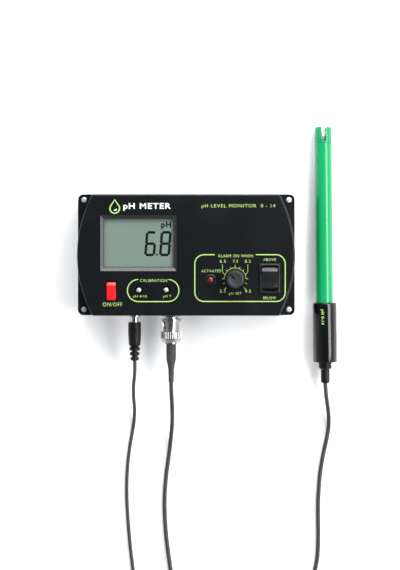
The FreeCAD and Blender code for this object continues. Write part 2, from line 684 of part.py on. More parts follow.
def make_board_parts():
    """What the board carries on its back: two chips, a regulator and a capacitor."""
    driver = centred_block("driver_chip", (display_x + 2, display_y + 8), 34, 13.5,
                           board_back - 4, board_back)
    amplifier = centred_block("amplifier_chip", (bnc_x, display_y - 12), 6.5, 9.6,
                              board_back - 3.4, board_back)
    chips = group("board_chips", [driver, amplifier])
    regulator = centred_block("voltage_regulator", (jack_x - 10, display_y - 22), 10, 4.5,
                              board_back - 9, board_back)
    capacitor = rod("smoothing_capacitor", (jack_x - 2, display_y - 14, board_back - 8), Z, 4, 8)
    return [chips, regulator, capacitor]

# ---------------------------------------------------------------- rockers, knob, lamp, trimmers


def make_rocker(name, middle, level, wide, long, rise, pocket_reach):
    """A rocker that pivots on two stubs, its upper end up.

    In its own frame the pivot is the origin, the length runs along Y and rise is the height of
    the ends of its hollow top.
    """
    body = new_body(name)
    side = sketch_in(body, "side", "YZ_Plane", -wide / 2)
    half = long / 2
    lean = rise * 0.12
    draw_outline(side, [(-half, -0.3), (-1.4, -pocket_reach), (1.4, -pocket_reach), (half, -0.3),
                        (half - lean, rise), (half - lean - 0.9, rise + 0.1), (0, rise - 1.1),
                        (lean + 0.9 - half, rise + 0.1), (lean - half, rise)])
    pad(body, side, wide)
    stubs = sketch_in(body, "stubs", "YZ_Plane", -wide / 2 - 0.7)
    draw_circles(stubs, [(zero, zero)], trunnion_radius)
    pad(body, stubs, wide + 1.4)
    for letter, item in zip("xyz", (middle[0], middle[1], level)):
        body.setExpression("Placement.Base." + letter, formula(item))
    body.Placement.Rotation = FreeCAD.Rotation(X, number(rocker_tilt))
    body.setExpression("Placement.Rotation.Angle", formula(rocker_tilt))
    return body


power_pivot = panel_back - 2
alarm_pivot = case_deep - 0.7


def rocker_housing(name, shell, middle, level, wide, long, reach, top):
    """Hollows a switch's housing for its rocker and bores it for the pivot stubs."""
    hollow = centred_block(name + "_hollow", middle, wide + 2 * rocker_gap, long + 2 * rocker_gap,
                           level - reach - 0.7, top + 1)
    start = (middle[0] - wide / 2 - 1.1, middle[1], level)
    bore = rod(name + "_bore", start, X, trunnion_radius + running_gap, wide + 2.2)
    return cut(name, shell, [hollow, bore])


def make_power_switch():
    middle = (power_x, power_y)
    wide = power_rocker_wide + 2 * rocker_gap + 2.6
    long = power_rocker_long + 2 * rocker_gap + 2
    shell = centred_block("power_switch_block", middle, wide, long, board_front, panel_back)
    housing = rocker_housing("power_switch_body", shell, middle, power_pivot, power_rocker_wide,
                             power_rocker_long, power_reach, case_deep)
    rocker = make_rocker("power_rocker", middle, power_pivot, power_rocker_wide, power_rocker_long,
                         case_deep - power_pivot + 1.5, power_reach)
    pins = [rod("power_pin_%d" % index, (x, y, board_back - 1.6), Z, pin_radius, board_thick + 1.6)
            for index, (x, y) in enumerate(pin_places)]
    return [housing, rocker, group("power_switch_pins", pins)]


def make_alarm_switch():
    """The alarm switch: a rimmed housing through the panel, its rocker and two solder tabs."""
    middle = (alarm_x, alarm_y)
    rim = centred_block("alarm_rim", middle, alarm_frame_wide, alarm_frame_high, case_deep,
                        case_deep + alarm_rim_tall)
    can = centred_block("alarm_can", middle, alarm_body_wide, alarm_body_high,
                        case_deep - alarm_body_deep, case_deep + 0.5)
    shell = fuse("alarm_switch_block", [rim, can])
    housing = rocker_housing("alarm_switch_body", shell, middle, alarm_pivot, alarm_rocker_wide,
                             alarm_rocker_long, alarm_reach, case_deep + alarm_rim_tall)
    rocker = make_rocker("alarm_rocker", middle, alarm_pivot, alarm_rocker_wide, alarm_rocker_long,
                         case_deep - alarm_pivot + alarm_rim_tall + 1.2, alarm_reach)
    back = case_deep - alarm_body_deep
    tabs = [centred_block("alarm_tab_%d" % index, (alarm_x, alarm_y + side * 5), 4.8, 0.8, back - 7, back)
            for index, side in enumerate((-1, 1))]
    return [housing, rocker, group("alarm_switch_tabs", tabs)]


def make_setpoint_control():
    """The set-point control: can and bushing, its shaft and wiper, the nut, and the knob."""
    place = (knob_x, knob_y)
    wall = 0.8
    floor = panel_back - control_deep
    can = rod("control_can", (*place, floor), Z, control_radius, control_deep)
    bushing = rod("control_bushing", (*place, panel_back - 1), Z, bushing_radius, case_wall + 4.4)
    hollow = rod("control_hollow", (*place, floor + wall), Z, control_radius - wall, control_deep - 2 * wall)
    bore = rod("control_bore", (*place, panel_back - 1), Z, shaft_radius + running_gap, 9)
    body = cut("setpoint_control", fuse("control_shell", [can, bushing]), [hollow, bore])
    spindle_top = case_deep + knob_lift + knob_tall - 3
    spindle = rod("spindle", (*place, floor + 1.6), Z, shaft_radius, spindle_top - floor - 1.6)
    wiper = rod("wiper", (*place, floor + 2), Z, control_radius - 1.6, 1.2)
    shaft = fuse("setpoint_shaft", [spindle, wiper])
    nut_block = hexagon("control_nut_block", (*place, case_deep), Z, control_nut_half,
                        control_nut_thick)
    nut_hole = rod("control_nut_hole", (*place, case_deep - 1), Z, bushing_radius, control_nut_thick + 2)
    return [body, shaft, cut("control_nut", nut_block, [nut_hole]), make_knob(spindle_top)]


def make_knob(spindle_top):
    """A skirted knob with a hollow underside, a bore for the shaft and a pointer groove."""
    foot = case_deep + knob_lift
    crown = foot + knob_tall
    profile = [(0, foot), (knob_skirt, foot), (knob_skirt, foot + 2.2), (knob_top + 0.35, foot + 3.2),
               (knob_top, crown - 0.6), (knob_top - 0.6, crown), (0, crown)]
    body = turned("knob_blank", "XZ_Plane", profile)
    for letter, item in zip("xy", (knob_x, knob_y)):
        body.setExpression("Placement.Base." + letter, formula(item))
    recess = rod("knob_recess", (knob_x, knob_y, foot - 1), Z, knob_recess, knob_recess_deep + 1)
    bore = rod("knob_bore", (knob_x, knob_y, foot), Z, shaft_radius + 0.01, spindle_top - foot + 0.1)
    groove = doc.addObject("Part::Box", "knob_groove")
    bind(groove, Length=knob_top + 1, Width=0.9, Height=1.2)
    groove.Placement.Rotation = FreeCAD.Rotation(Z, number(knob_point))
    angle = number(knob_point) * math.pi / 180
    across = FreeCAD.Vector(0.45 * math.sin(angle), -0.45 * math.cos(angle), 0)
    for letter, item, step in zip("xyz", (knob_x, knob_y, crown - 0.5), across):
        groove.setExpression("Placement.Base." + letter, formula(item + step))
    return cut("setpoint_knob", body, [recess, bore, groove])


def make_lamp():
    """The alarm lamp: a domed lens and the ring that holds it in the panel."""
    place = (led_x, led_y)
    base = panel_back - 3.4
    barrel = rod("led_barrel", (*place, base), Z, led_radius, case_deep + 0.2 - base)
    rim = rod("led_rim", (*place, base), Z, led_radius + 0.45, 0.9)
    dome = doc.addObject("Part::Sphere", "led_dome")
    bind(dome, Radius=led_radius)
    put(dome, (*place, case_deep + 0.2))
    lamp = fuse("alarm_lamp", [barrel, rim, dome])
    flange = rod("led_flange", (*place, case_deep), Z, led_ring, 1)
    sleeve = rod("led_sleeve", (*place, panel_back - 2), Z, led_sleeve, case_wall + 2.5)
    bore = rod("led_bore", (*place, 0), Z, led_radius + 0.05, case_deep + 3)
    return [lamp, cut("lamp_ring", fuse("lamp_ring_body", [flange, sleeve]), [bore])]


def make_trimmer(name, x):
    """A trimmer: its housing on the board and the screw that turns in it."""
    screw_top = case_deep - 0.9
    head_seat = panel_back + 0.1
    housing_top = panel_back - 0.3
    spindle = trimmer_screw - 0.6
    casing = centred_block(name + "_housing", (x, trimmer_y), trimmer_side, trimmer_side, board_front,
                           housing_top)
    bore = rod(name + "_bore", (x, trimmer_y, board_front + 1), Z, spindle + running_gap, 9)
    housing = cut(name + "_trimmer", casing, [bore])
    head = rod(name + "_head", (x, trimmer_y, head_seat), Z, trimmer_screw, screw_top - head_seat)
    stem = rod(name + "_stem", (x, trimmer_y, board_front + 1.2), Z, spindle,
               head_seat - board_front - 1.2)
    slot = centred_block(name + "_slot", (x, trimmer_y), 5, 0.7, screw_top - 0.8, screw_top + 1)
    return [housing, cut(name + "_screw", fuse(name + "_screw_body", [head, stem]), [slot])]

# ---------------------------------------------------------------- power jack and power plug

plug_face = wall_out - jack_nose - plug_bare


def place_body(body, x, y, z):
    for letter, item in zip("xyz", (x, y, z)):
        body.setExpression("Placement.Base." + letter, formula(item))
    return body


def turned_on_y(name, x, profile):
    """A piece turned about a line along Y at socket level; its corners are (radius, y)."""
    return place_body(turned(name, "XY_Plane", profile), x, 0, socket_level)


def make_power_jack():
    """The jack's body with its bore, the nut inside the case, and the centre pin."""
    nose = wall_out - jack_nose
    bore_end = nose + plug_reach + 2.4
    back = wall_in + jack_inside
    body = turned_on_y("power_jack", jack_x, [
        (jack_bore, nose), (jack_collar, nose), (jack_collar, wall_out), (jack_thread, wall_out),
        (jack_thread, back), (0, back), (0, bore_end), (jack_bore, bore_end)])
    nut_block = hexagon("jack_nut_block", (jack_x, wall_in, socket_level), Y, jack_nut_half,
                        jack_nut_thick)
    nut_hole = rod("jack_nut_hole", (jack_x, wall_in - 1, socket_level), Y, jack_thread, jack_nut_thick + 2)
    pin = rod("power_jack_pin", (jack_x, nose + 0.8, socket_level), Y, plug_bore - 0.2, bore_end - nose - 0.8)
    return [body, cut("jack_nut", nut_block, [nut_hole]), pin]


def make_power_plug():
    """The plug: hollow barrel, moulded grip with a finger pad, and ribbed strain relief."""
    barrel_long = plug_bare + plug_reach
    tube = rod("plug_tube", (jack_x, plug_face, socket_level), Y, plug_barrel, barrel_long)
    bore = rod("plug_tube_bore", (jack_x, plug_face + 0.4, socket_level), Y, plug_bore, barrel_long)
    grip_end = plug_face - plug_grip_long
    end = grip_end - plug_relief_long
    step = plug_relief_long / 3
    neck = power_lead_radius + 1.35
    profile = [(0, end), (neck, end)]
    for rib, radius in enumerate((neck + 0.35, neck + 0.8, neck + 1.2)):
        low = end + step * rib
        profile += [(radius, low + 0.05), (radius, low + step * 0.7)]
        profile += [(neck, low + step * 0.7), (neck, low + step)]
    profile += [(plug_grip - 0.4, grip_end), (plug_grip, grip_end + 1.5), (plug_grip, plug_face - 0.6),
                (plug_grip - 0.6, plug_face), (0, plug_face)]
    grip = turned_on_y("plug_grip_turned", jack_x, profile)
    finger_pad = centred_block("plug_finger_pad", (jack_x, plug_face - plug_grip_long / 2), 5,
                               plug_grip_long * 0.6, socket_level, socket_level + plug_grip + 0.25)
    return [cut("power_plug_barrel", tube, [bore]), fuse("power_plug_grip", [grip, finger_pad])]


# ---------------------------------------------------------------- electrode socket and plug

nose_end = wall_out - bnc_nose_long
ring_front = wall_out - ring_start
ring_grip_start = ring_front - ring_rim_long - ring_sleeve_long
ring_grip_end = ring_grip_start - ring_grip_long
ring_end = ring_grip_end - ring_tail_long
boot_start = ring_end - 1


def make_bnc_socket():
    """Bulkhead socket: body with two studs, nut, insulator and centre contact."""
    well = wall_out - 3.4
    back = wall_in + 5
    turned_body = turned_on_y("bnc_socket_turned", bnc_x, [
        (bnc_mouth, nose_end), (bnc_nose, nose_end), (bnc_nose, wall_out - bnc_nut_thick),
        (bnc_thread, wall_out - bnc_nut_thick), (bnc_thread, wall_in), (bnc_thread + bnc_flange, wall_in),
        (bnc_thread + bnc_flange, wall_in + 1.6), (bnc_thread - 0.6, wall_in + 1.6), (bnc_thread - 0.6, back),
        (2.3, back), (2.3, well), (bnc_mouth, well)])
    studs = rod("bnc_studs", (bnc_x, wall_out - stud_along, socket_level - stud_reach), Z, stud_radius,
                2 * stud_reach)
    between = rod("bnc_between_studs", (bnc_x, nose_end, socket_level), Y, bnc_mouth, 9)
    pair = cut("bnc_stud_pair", studs, [between])
    body = fuse("bnc_socket", [turned_body, pair])
    nut_block = hexagon("bnc_nut_block", (bnc_x, wall_out - bnc_nut_thick, socket_level), Y, bnc_nut_half,
                        bnc_nut_thick)
    nut_hole = rod("bnc_nut_hole", (bnc_x, wall_out - 4, socket_level), Y, bnc_thread, 6)
    insulator = turned_on_y("bnc_insulator", bnc_x, [
        (contact_radius, well - 4), (2.3, well - 4), (2.3, back), (contact_radius, back)])
    tag_end = wall_in + contact_inside
    contact = turned_on_y("bnc_contact", bnc_x, [
        (0.55, well - 3.4), (contact_radius, well - 3.4), (contact_radius, tag_end), (0, tag_end),
        (0, well + 2), (0.55, well + 2)])
    return [body, cut("bnc_nut", nut_block, [nut_hole]), insulator, contact]


def make_bnc_plug():
    """The plug's own body, its centre pin, and the boot with its thin end."""
    reach = nose_end + 6.4
    body = turned_on_y("bnc_plug", bnc_x, [
        (3.1, reach), (bnc_mouth - 0.15, reach), (bnc_mouth - 0.15, nose_end - 0.2),
        (bnc_nose, nose_end - 0.2),
        (bnc_nose, nose_end - 0.7), (neck_radius, nose_end - 0.7), (neck_radius, ring_end - 0.1),
        (neck_radius + 0.3, ring_end - 0.1), (neck_radius + 0.3, boot_start), (0, boot_start),
        (0, boot_start + 3), (3.1, boot_start + 3)])
    pin = rod("bnc_pin", (bnc_x, boot_start + 3, socket_level), Y, bnc_pin_radius,
              reach - boot_start - 2.2)
    boot_end_y = boot_start - boot_long - boot_taper_long - boot_end_long
    boot = turned_on_y("bnc_boot", bnc_x, [
        (0, boot_start), (boot_radius, boot_start), (boot_radius, boot_start - boot_long),
        (boot_end + 0.25, boot_start - boot_long - boot_taper_long), (boot_end, boot_end_y), (0, boot_end_y)])
    return [body, pin, boot]


def make_bnc_ring():
    """The bayonet ring: rim, sleeve with two stud slots, knurled grip and a tapered tail."""
    inner = bnc_nose + 0.15
    seat = nose_end - 0.8
    body = turned("bnc_ring_turned", "XY_Plane", [
        (inner, ring_front), (ring_rim, ring_front), (ring_rim, ring_front - ring_rim_long),
        (ring_sleeve, ring_front - ring_rim_long), (ring_sleeve, ring_grip_start),
        (ring_grip, ring_grip_start), (ring_grip, ring_grip_end), (ring_tail, ring_end),
        (neck_radius + running_gap, ring_end), (neck_radius + running_gap, seat), (inner, seat)])
    groove = sketch_in(body, "knurl", "XZ_Plane", -ring_grip_start)
    draw_circles(groove, [(zero, ring_grip + 0.25)], knurl_radius)
    knurl = pocket(body, groove, ring_grip_long)
    pattern = body.newObject("PartDesign::PolarPattern", "bnc_knurl_pattern")
    pattern.Originals = [knurl]
    pattern.Axis = (groove, ["N_Axis"])
    pattern.Angle = 360
    pattern.Occurrences = 30
    body.Tip = pattern
    place_body(body, bnc_x, 0, socket_level)
    return cut("bnc_ring", body, ring_slots())


def spin(thing, axis, degrees, place):
    """Turns a thing, as it already stands, by some degrees and binds its place."""
    thing.Placement.Rotation = FreeCAD.Rotation(axis, degrees) * thing.Placement.Rotation
    for letter, item in zip("xyz", place):
        thing.setExpression("Placement.Base." + letter, formula(item))
    return thing


def ring_slots():
    """Two slots that the studs run in and two channels that they enter by."""
    tools = []
    half_slot = stud_radius + 0.2
    stud_y = wall_out - stud_along
    play = 13
    for side, stud_angle in enumerate((-90, 90)):
        sector = rod("bnc_sector_%d" % side, (0, 0, 0), Y, ring_sleeve + 0.6, 2 * half_slot)
        bind(sector, Angle=ring_turn + 2 * play)
        open_angle = stud_angle - number(ring_turn)
        spin(sector, Y, open_angle - play, (bnc_x, stud_y - half_slot, socket_level))
        core = rod("bnc_core_%d" % side, (bnc_x, stud_y - 3, socket_level), Y, bnc_nose, 6)
        tools.append(cut("bnc_slot_%d" % side, sector, [core]))
        out_x = 4.7 * math.cos(math.radians(open_angle))
        out_z = -4.7 * math.sin(math.radians(open_angle))
        tools.append(rod("bnc_channel_%d" % side, (bnc_x + out_x, stud_y, socket_level + out_z), Y,
                         half_slot, stud_along))
    return tools

# ---------------------------------------------------------------- the electrode

tip_y = tube_long + guard_long
probe_tilt = math.atan2(number(cap_radius - tube_radius), number(tip_y + cap_round))
table_gap = 0.02
probe_level = (number(cap_radius) * math.cos(probe_tilt) - number(cap_round) * math.sin(probe_tilt)
               + table_gap)
probe_turn = (FreeCAD.Rotation(Z, number(probe_yaw)) *
              FreeCAD.Rotation(X, -math.degrees(probe_tilt)))
# it lies at rest on the edge of its cap and on the tip of its guard, so its axis dips to the tip
probe_stand = FreeCAD.Placement(FreeCAD.Vector(0, 0, probe_level), probe_turn)


def lay_probe(thing):
    """Lays a piece of the electrode, made along its own +Y, where the electrode lies."""
    thing.Placement = probe_stand * thing.Placement
    for letter, item in (("x", probe_x), ("y", probe_y)):
        thing.setExpression("Placement.Base." + letter, formula(item))
    return thing


def probe_turning(name, profile):
    return lay_probe(turned(name, "XY_Plane", profile))


def make_probe():
    """Tube, slotted guard, glass bulb on its stem, reference wire, cap and strain relief."""
    bore = tube_radius - tube_wall
    spigot = tube_radius - tube_step
    tube = probe_turning("electrode_tube", [
        (bore, -tube_in_cap), (spigot, -tube_in_cap), (spigot, 0), (tube_radius, 0),
        (tube_radius, tube_long - joint_chamfer), (tube_radius - joint_chamfer, tube_long),
        (bore, tube_long)])
    guard = make_guard(bore)
    bulb_y = tip_y - 2.6 - bulb_radius
    stem_end = -tube_in_cap + 4
    bulb = probe_turning("glass_bulb", [
        (0, stem_end), (stem_radius, stem_end), (stem_radius, bulb_y - bulb_radius * 0.86),
        (bulb_radius * 0.8, bulb_y - bulb_radius * 0.6), (bulb_radius, bulb_y),
        (bulb_radius * 0.8, bulb_y + bulb_radius * 0.6), (bulb_radius * 0.42, bulb_y + bulb_radius * 0.91),
        (0, bulb_y + bulb_radius)])
    wire = new_body("reference_wire")
    far_end = tube_long * 0.7
    section = sketch_in(wire, "section", "XZ_Plane", -far_end)
    draw_circles(section, [(bore - 1, zero)], wire_radius)
    pad(wire, section, far_end - stem_end)
    return [tube, guard, bulb, lay_probe(wire)] + make_cap()


def make_guard(bore):
    """The guard: a spigot glued in the tube and four tines round the bulb."""
    body = new_body("electrode_guard")
    sketch = sketch_in(body, "profile", "XY_Plane")
    start = tube_long - guard_spigot
    draw_outline(sketch, [
        (bulb_radius + 0.4, start), (bore, start), (bore, tube_long),
        (tube_radius - joint_chamfer, tube_long), (tube_radius, tube_long + joint_chamfer),
        (tube_radius, tip_y - 0.6), (tube_radius - 0.6, tip_y), (bulb_radius + 0.9, tip_y),
        (bulb_radius + 0.4, tip_y - 0.6)])
    turning = body.newObject("PartDesign::Revolution", "guard_turning")
    turning.Profile = sketch
    turning.ReferenceAxis = (sketch, ["V_Axis"])
    turning.Angle = 360
    slots = [sketch_in(body, "slot_" + role[:2], role, -tube_radius - 1) for role in ("XY_Plane", "YZ_Plane")]
    slot_start = tube_long + 1.2
    slot_end = tip_y + 1
    half = guard_slot / 2
    draw_outline(slots[0], [(-half, slot_start), (half, slot_start), (half, slot_end), (-half, slot_end)])
    draw_outline(slots[1], [(slot_start, -half), (slot_end, -half), (slot_end, half), (slot_start, half)])
    for slot in slots:
        pocket(body, slot, 2 * tube_radius + 2)
    return lay_probe(body)


def make_cap():
    """The cap, hollow behind the tube, and the collar and sleeve of the strain relief."""
    seat = tube_radius - tube_step
    blank = new_body("electrode_cap")
    sketch = sketch_in(blank, "profile", "XY_Plane")
    draw_outline(sketch, [
        (seat, 0), (cap_radius, 0), (cap_radius, -cap_long + 0.6), (cap_radius - 0.6, -cap_long),
        (1.6, -cap_long), (1.6, -cap_long + 3), (seat - 0.5, -cap_long + 3),
        (seat - 0.5, -tube_in_cap), (seat, -tube_in_cap)])
    turning = blank.newObject("PartDesign::Revolution", "cap_turning")
    turning.Profile = sketch
    turning.ReferenceAxis = (sketch, ["V_Axis"])
    turning.Angle = 360
    reach = number(cap_radius)
    round_edges(blank, turning, cap_round,
                lambda edge, middle: edge.Length > 6 * reach and abs(middle.y) < 0.001)
    relief = probe_turning("electrode_relief", [
        (0, -cap_long - relief_long), (relief_sleeve - 0.5, -cap_long - relief_long),
        (relief_sleeve, -cap_long - relief_long + 0.5), (relief_sleeve, -cap_long - relief_collar_long - 0.6),
        (relief_radius - 0.6, -cap_long - relief_collar_long), (relief_radius, -cap_long - 1.2),
        (relief_radius, -cap_long), (0, -cap_long)])
    return [lay_probe(blank), relief]


# ---------------------------------------------------------------- the adapter


def make_adapter():
    """The mains adapter on its side: two shells, two blades, transformer and strain relief."""
    low = (adapter_x - adapter_long, adapter_y - adapter_wide / 2)
    high = (adapter_x, adapter_y + adapter_wide / 2)
    middle_level = adapter_tall / 2
    shells = []
    for name, bottom, top in (("adapter_lower_shell", zero, middle_level),
                              ("adapter_upper_shell", middle_level, adapter_tall)):
        body = new_body(name + "_solid")
        outline = sketch_in(body, "outline", "XY_Plane", bottom)
        draw_outline(outline, [(low[0], low[1]), (high[0], low[1]), (high[0], high[1]), (low[0], high[1])])
        solid = pad(body, outline, top - bottom)
        face = bottom if name == "adapter_lower_shell" else top
        rounded = round_edges(body, solid, adapter_round, lambda edge, middle: is_upright(edge))
        round_edges(body, rounded, 2.5, lambda edge, middle: abs(middle.z - number(face)) < 0.001)
        start = bottom + adapter_shell if name == "adapter_lower_shell" else middle_level
        inside = sketch_in(body, "inside", "XY_Plane", start)
        draw_outline(inside, [(low[0] + adapter_shell, low[1] + adapter_shell),
                              (high[0] - adapter_shell, low[1] + adapter_shell),
                              (high[0] - adapter_shell, high[1] - adapter_shell),
                              (low[0] + adapter_shell, high[1] - adapter_shell)])
        pocket(body, inside, middle_level - adapter_shell)
        shells.append(cut(name, body, blade_holes(name, low[0])))
    blades = []
    for index, side in enumerate((-1, 1)):
        blade_y = adapter_y + side * blade_pitch / 2
        blades.append(block("blade_%d" % index,
                            (low[0] - blade_long, blade_y - blade_thick / 2, middle_level - blade_wide / 2),
                            (low[0] + adapter_shell + 1, blade_y + blade_thick / 2,
                             middle_level + blade_wide / 2)))
    transformer = centred_block("adapter_transformer", (adapter_x - adapter_long / 2, adapter_y), 34, 30,
                                adapter_shell, adapter_tall - adapter_shell)
    relief = taper("adapter_strain_relief", (adapter_x, adapter_y, middle_level), X, adapter_relief,
                   power_lead_radius + 0.6, adapter_relief_long)
    return shells + [group("adapter_blades", blades), transformer, relief]


def blade_holes(name, face_x):
    middle_level = adapter_tall / 2
    return [block("%s_slot_%d" % (name, index),
                  (face_x - 1, adapter_y + side * blade_pitch / 2 - blade_thick / 2 - 0.05,
                   middle_level - blade_wide / 2 - 0.05),
                  (face_x + adapter_shell + 1, adapter_y + side * blade_pitch / 2 + blade_thick / 2 + 0.05,
                   middle_level + blade_wide / 2 + 0.05)) for index, side in enumerate((-1, 1))]

# ---------------------------------------------------------------- the leads

power_coil_place = (-55, -252)
probe_coil_place = (10, -254)
power_level = number(power_lead_radius) + 0.05
probe_lead_level = number(probe_lead_radius) + 0.05


def lead_tube(name, route, radius):
    """A lead along its route: straight runs joined by the largest tangent arcs they allow."""
    points = [FreeCAD.Vector(*[number(item) for item in place]) for place in route]
    runs = [(after - before) for before, after in zip(points, points[1:])]
    edges = []
    start = points[0]
    length = 0
    tightest = 1000
    for corner, run_in, run_out in zip(points[1:], runs, runs[1:]):
        turn = run_in.getAngle(run_out)
        reach = 0.45 * min(run_in.Length, run_out.Length)
        into = run_in.normalize() * -reach
        out = run_out / run_out.Length * reach
        bend = reach / math.tan(turn / 2)
        tightest = min(tightest, bend)
        middle = (into + out).normalize() * (bend / math.cos(turn / 2) - bend)
        edges.append(Part.LineSegment(start, corner + into).toShape())
        edges.append(Part.Arc(corner + into, corner + middle, corner + out).toShape())
        length += (corner + into - start).Length + bend * turn
        start = corner + out
    edges.append(Part.LineSegment(start, points[-1]).toShape())
    length += (points[-1] - start).Length
    circle = Part.Circle(points[0], points[1] - points[0], radius)
    thing = doc.addObject("Part::Feature", name)
    thing.Shape = Part.Wire(edges).makePipeShell([Part.Wire(circle.toShape())], True, False)
    wanted = math.pi * radius * radius * length
    print("%s: %.1f long, tightest bend %.1f, volume %.4f of section by length"
          % (name, length, tightest, thing.Shape.Volume / wanted))
    return thing


def make_power_lead():
    """From the plug down to the table and along it to a coil, then from the coil to the adapter."""
    end = plug_face - plug_grip_long - plug_relief_long
    low = power_level
    lead = lead_tube("power_lead", [
        (jack_x, end, socket_level), (-36.1, -82.5, 19.8), (-37.6, -92, 16.2), (-37.9, -102, 10),
        (-37.3, -112, 4.4), (-38.4, -122.5, low + 0.2), (-40.9, -135.5, low), (-42.9, -151, low),
        (-43.6, -170, low), (-42.5, -191, low), (-40.6, -212, low), (-38.3, -230, low),
        (-37.2, -244, low)], number(power_lead_radius))
    relief_end = adapter_x + adapter_relief_long
    tail = lead_tube("power_lead_tail", [
        (-64.5, -268.6, 8.1), (-71.5, -268.9, 9.2), (-79.5, -269.8, 12),
        (relief_end, adapter_y, adapter_tall / 2)], number(power_lead_radius))
    return [lead, coil("power_coil", power_coil_place, power_coil_middle, power_coil_wide,
                       power_coil_tall), tail]


def make_probe_lead():
    """From the boot down to the table, along it to a coil, and back to the electrode."""
    end = boot_start - boot_long - boot_taper_long - boot_end_long
    low = probe_lead_level
    lead = lead_tube("electrode_lead", [
        (bnc_x, end, socket_level), (-10.7, -99, 19.8), (-10.2, -110, 15.4), (-10.6, -121, 8.6),
        (-11.8, -132, 3.5), (-13.2, -144, low), (-15.4, -159, low), (-16.6, -178, low),
        (-15.6, -199, low), (-13, -219, low), (-10.7, -235, low), (-10.1, -246, low)],
        number(probe_lead_radius))
    back = probe_turn.multVec(FreeCAD.Vector(0, -number(cap_long + relief_long), 0))
    back += FreeCAD.Vector(number(probe_x), number(probe_y), probe_level)
    lead_back = lead_tube("electrode_lead_return", [
        (back.x, back.y, back.z), (98.3, -100.5, 9.6), (100.2, -111, 6.2), (101.1, -121.5, 2.2),
        (99.6, -132, low), (96.6, -144.5, low), (94.2, -160, low), (93.1, -181, low),
        (93.6, -203, low), (92.6, -222, low), (86.5, -240, low), (74, -255, low),
        (57, -266.5, low), (38, -271.6, low + 0.4), (21.4, -272.5, 4)], number(probe_lead_radius))
    return [lead, coil("electrode_coil", probe_coil_place, probe_coil_middle, probe_coil_wide,
                       probe_coil_tall), lead_back]


def coil(name, place, middle, wide, tall):
    """The outer shape of a wound coil lying on the table."""
    chamfer = 1.2
    low = coil_floor
    high = coil_floor + tall
    inner = middle - wide / 2
    outer = middle + wide / 2
    ring = turned(name, "XZ_Plane", [
        (inner, low + chamfer), (inner + chamfer, low), (outer - chamfer, low), (outer, low + chamfer),
        (outer, high - chamfer), (outer - chamfer, high), (inner + chamfer, high), (inner, high - chamfer)])
    return place_body(ring, place[0], place[1], 0)


# ---------------------------------------------------------------- building and writing

subparts = [make_tray(), make_cover(), make_case_screws(), make_display_bezel()]
subparts += make_display_stack()
subparts += [make_board(), make_board_screws()]
subparts += make_board_parts()
subparts += make_power_switch()
subparts += make_alarm_switch()
subparts += make_setpoint_control()
subparts += make_lamp()
subparts += make_trimmer("offset", offset_x)
subparts += make_trimmer("slope", slope_x)
subparts += make_power_jack()
subparts += make_power_plug()
subparts += make_bnc_socket()
subparts += make_bnc_plug()
subparts += [make_bnc_ring()]
subparts += make_probe()
subparts += make_power_lead()
subparts += make_adapter()
subparts += make_probe_lead()
for thing in subparts:
    thing.Label = thing.Name

doc.recompute()
for thing in doc.Objects:
    if "Invalid" in thing.State or "Error" in thing.State:
        raise RuntimeError("%s could not be made: %s" % (thing.Name, thing.State))
for thing in subparts:
    shape = thing.Shape
    if shape.isNull() or not shape.isValid() or not shape.Solids:
        raise RuntimeError("%s has no sound solid" % thing.Label)
for thing in subparts:
    thing.Shape.exportStep("parts/%s.step" % thing.Label)
    print("%-24s %2d solids %10.1f mm3" % (thing.Label, len(thing.Shape.Solids), thing.Shape.Volume))
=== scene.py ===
"""A pH monitor lying on its back, with its electrode beside it and both leads run out below it."""
import math
import bpy
from mathutils import Matrix, Vector


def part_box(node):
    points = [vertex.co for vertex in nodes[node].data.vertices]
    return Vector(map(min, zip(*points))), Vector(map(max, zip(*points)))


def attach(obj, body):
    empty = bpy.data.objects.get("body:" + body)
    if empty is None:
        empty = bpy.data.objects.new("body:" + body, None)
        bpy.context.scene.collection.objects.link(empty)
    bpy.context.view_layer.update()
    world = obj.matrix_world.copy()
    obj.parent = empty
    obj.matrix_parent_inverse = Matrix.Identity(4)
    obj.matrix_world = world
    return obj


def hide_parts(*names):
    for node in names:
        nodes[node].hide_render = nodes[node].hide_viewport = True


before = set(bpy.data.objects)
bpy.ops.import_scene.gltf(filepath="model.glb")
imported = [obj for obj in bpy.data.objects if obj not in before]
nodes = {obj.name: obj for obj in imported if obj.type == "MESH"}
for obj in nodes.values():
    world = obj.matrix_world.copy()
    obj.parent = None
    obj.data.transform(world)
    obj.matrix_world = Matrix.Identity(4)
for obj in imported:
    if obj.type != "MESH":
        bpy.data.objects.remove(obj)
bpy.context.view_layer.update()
MM = 0.001

# The camera looks straight down on the panel from 0.9 m, as over a copy stand.  The shift only
# frames the table below the case, where the leads run out.
bpy.ops.object.camera_add(location=(0.0247, 0.0275, 0.9))
camera = bpy.context.object
camera.data.lens = 79.45
camera.data.sensor_width = 36
camera.data.shift_x = -0.0386
camera.data.shift_y = -0.1228
camera.data.clip_start = 0.01
bpy.context.scene.camera = camera


# Materials are written as expressions: a Signal is a socket that can be added, multiplied and
# mixed, and a Finish is one material whose node method adds any node to it.
class Signal:
    """A value or a colour on its way through a material."""

    def __init__(self, finish, socket):
        self.finish = finish
        self.socket = socket

    def maths(self, operation, first, second):
        return self.finish.node("ShaderNodeMath", {"operation": operation}, {0: first, 1: second})

    def __add__(self, other):
        return self.maths("ADD", self, other)

    def __radd__(self, other):
        return self.maths("ADD", other, self)

    def __mul__(self, other):
        return self.maths("MULTIPLY", self, other)

    def __rmul__(self, other):
        return self.maths("MULTIPLY", other, self)


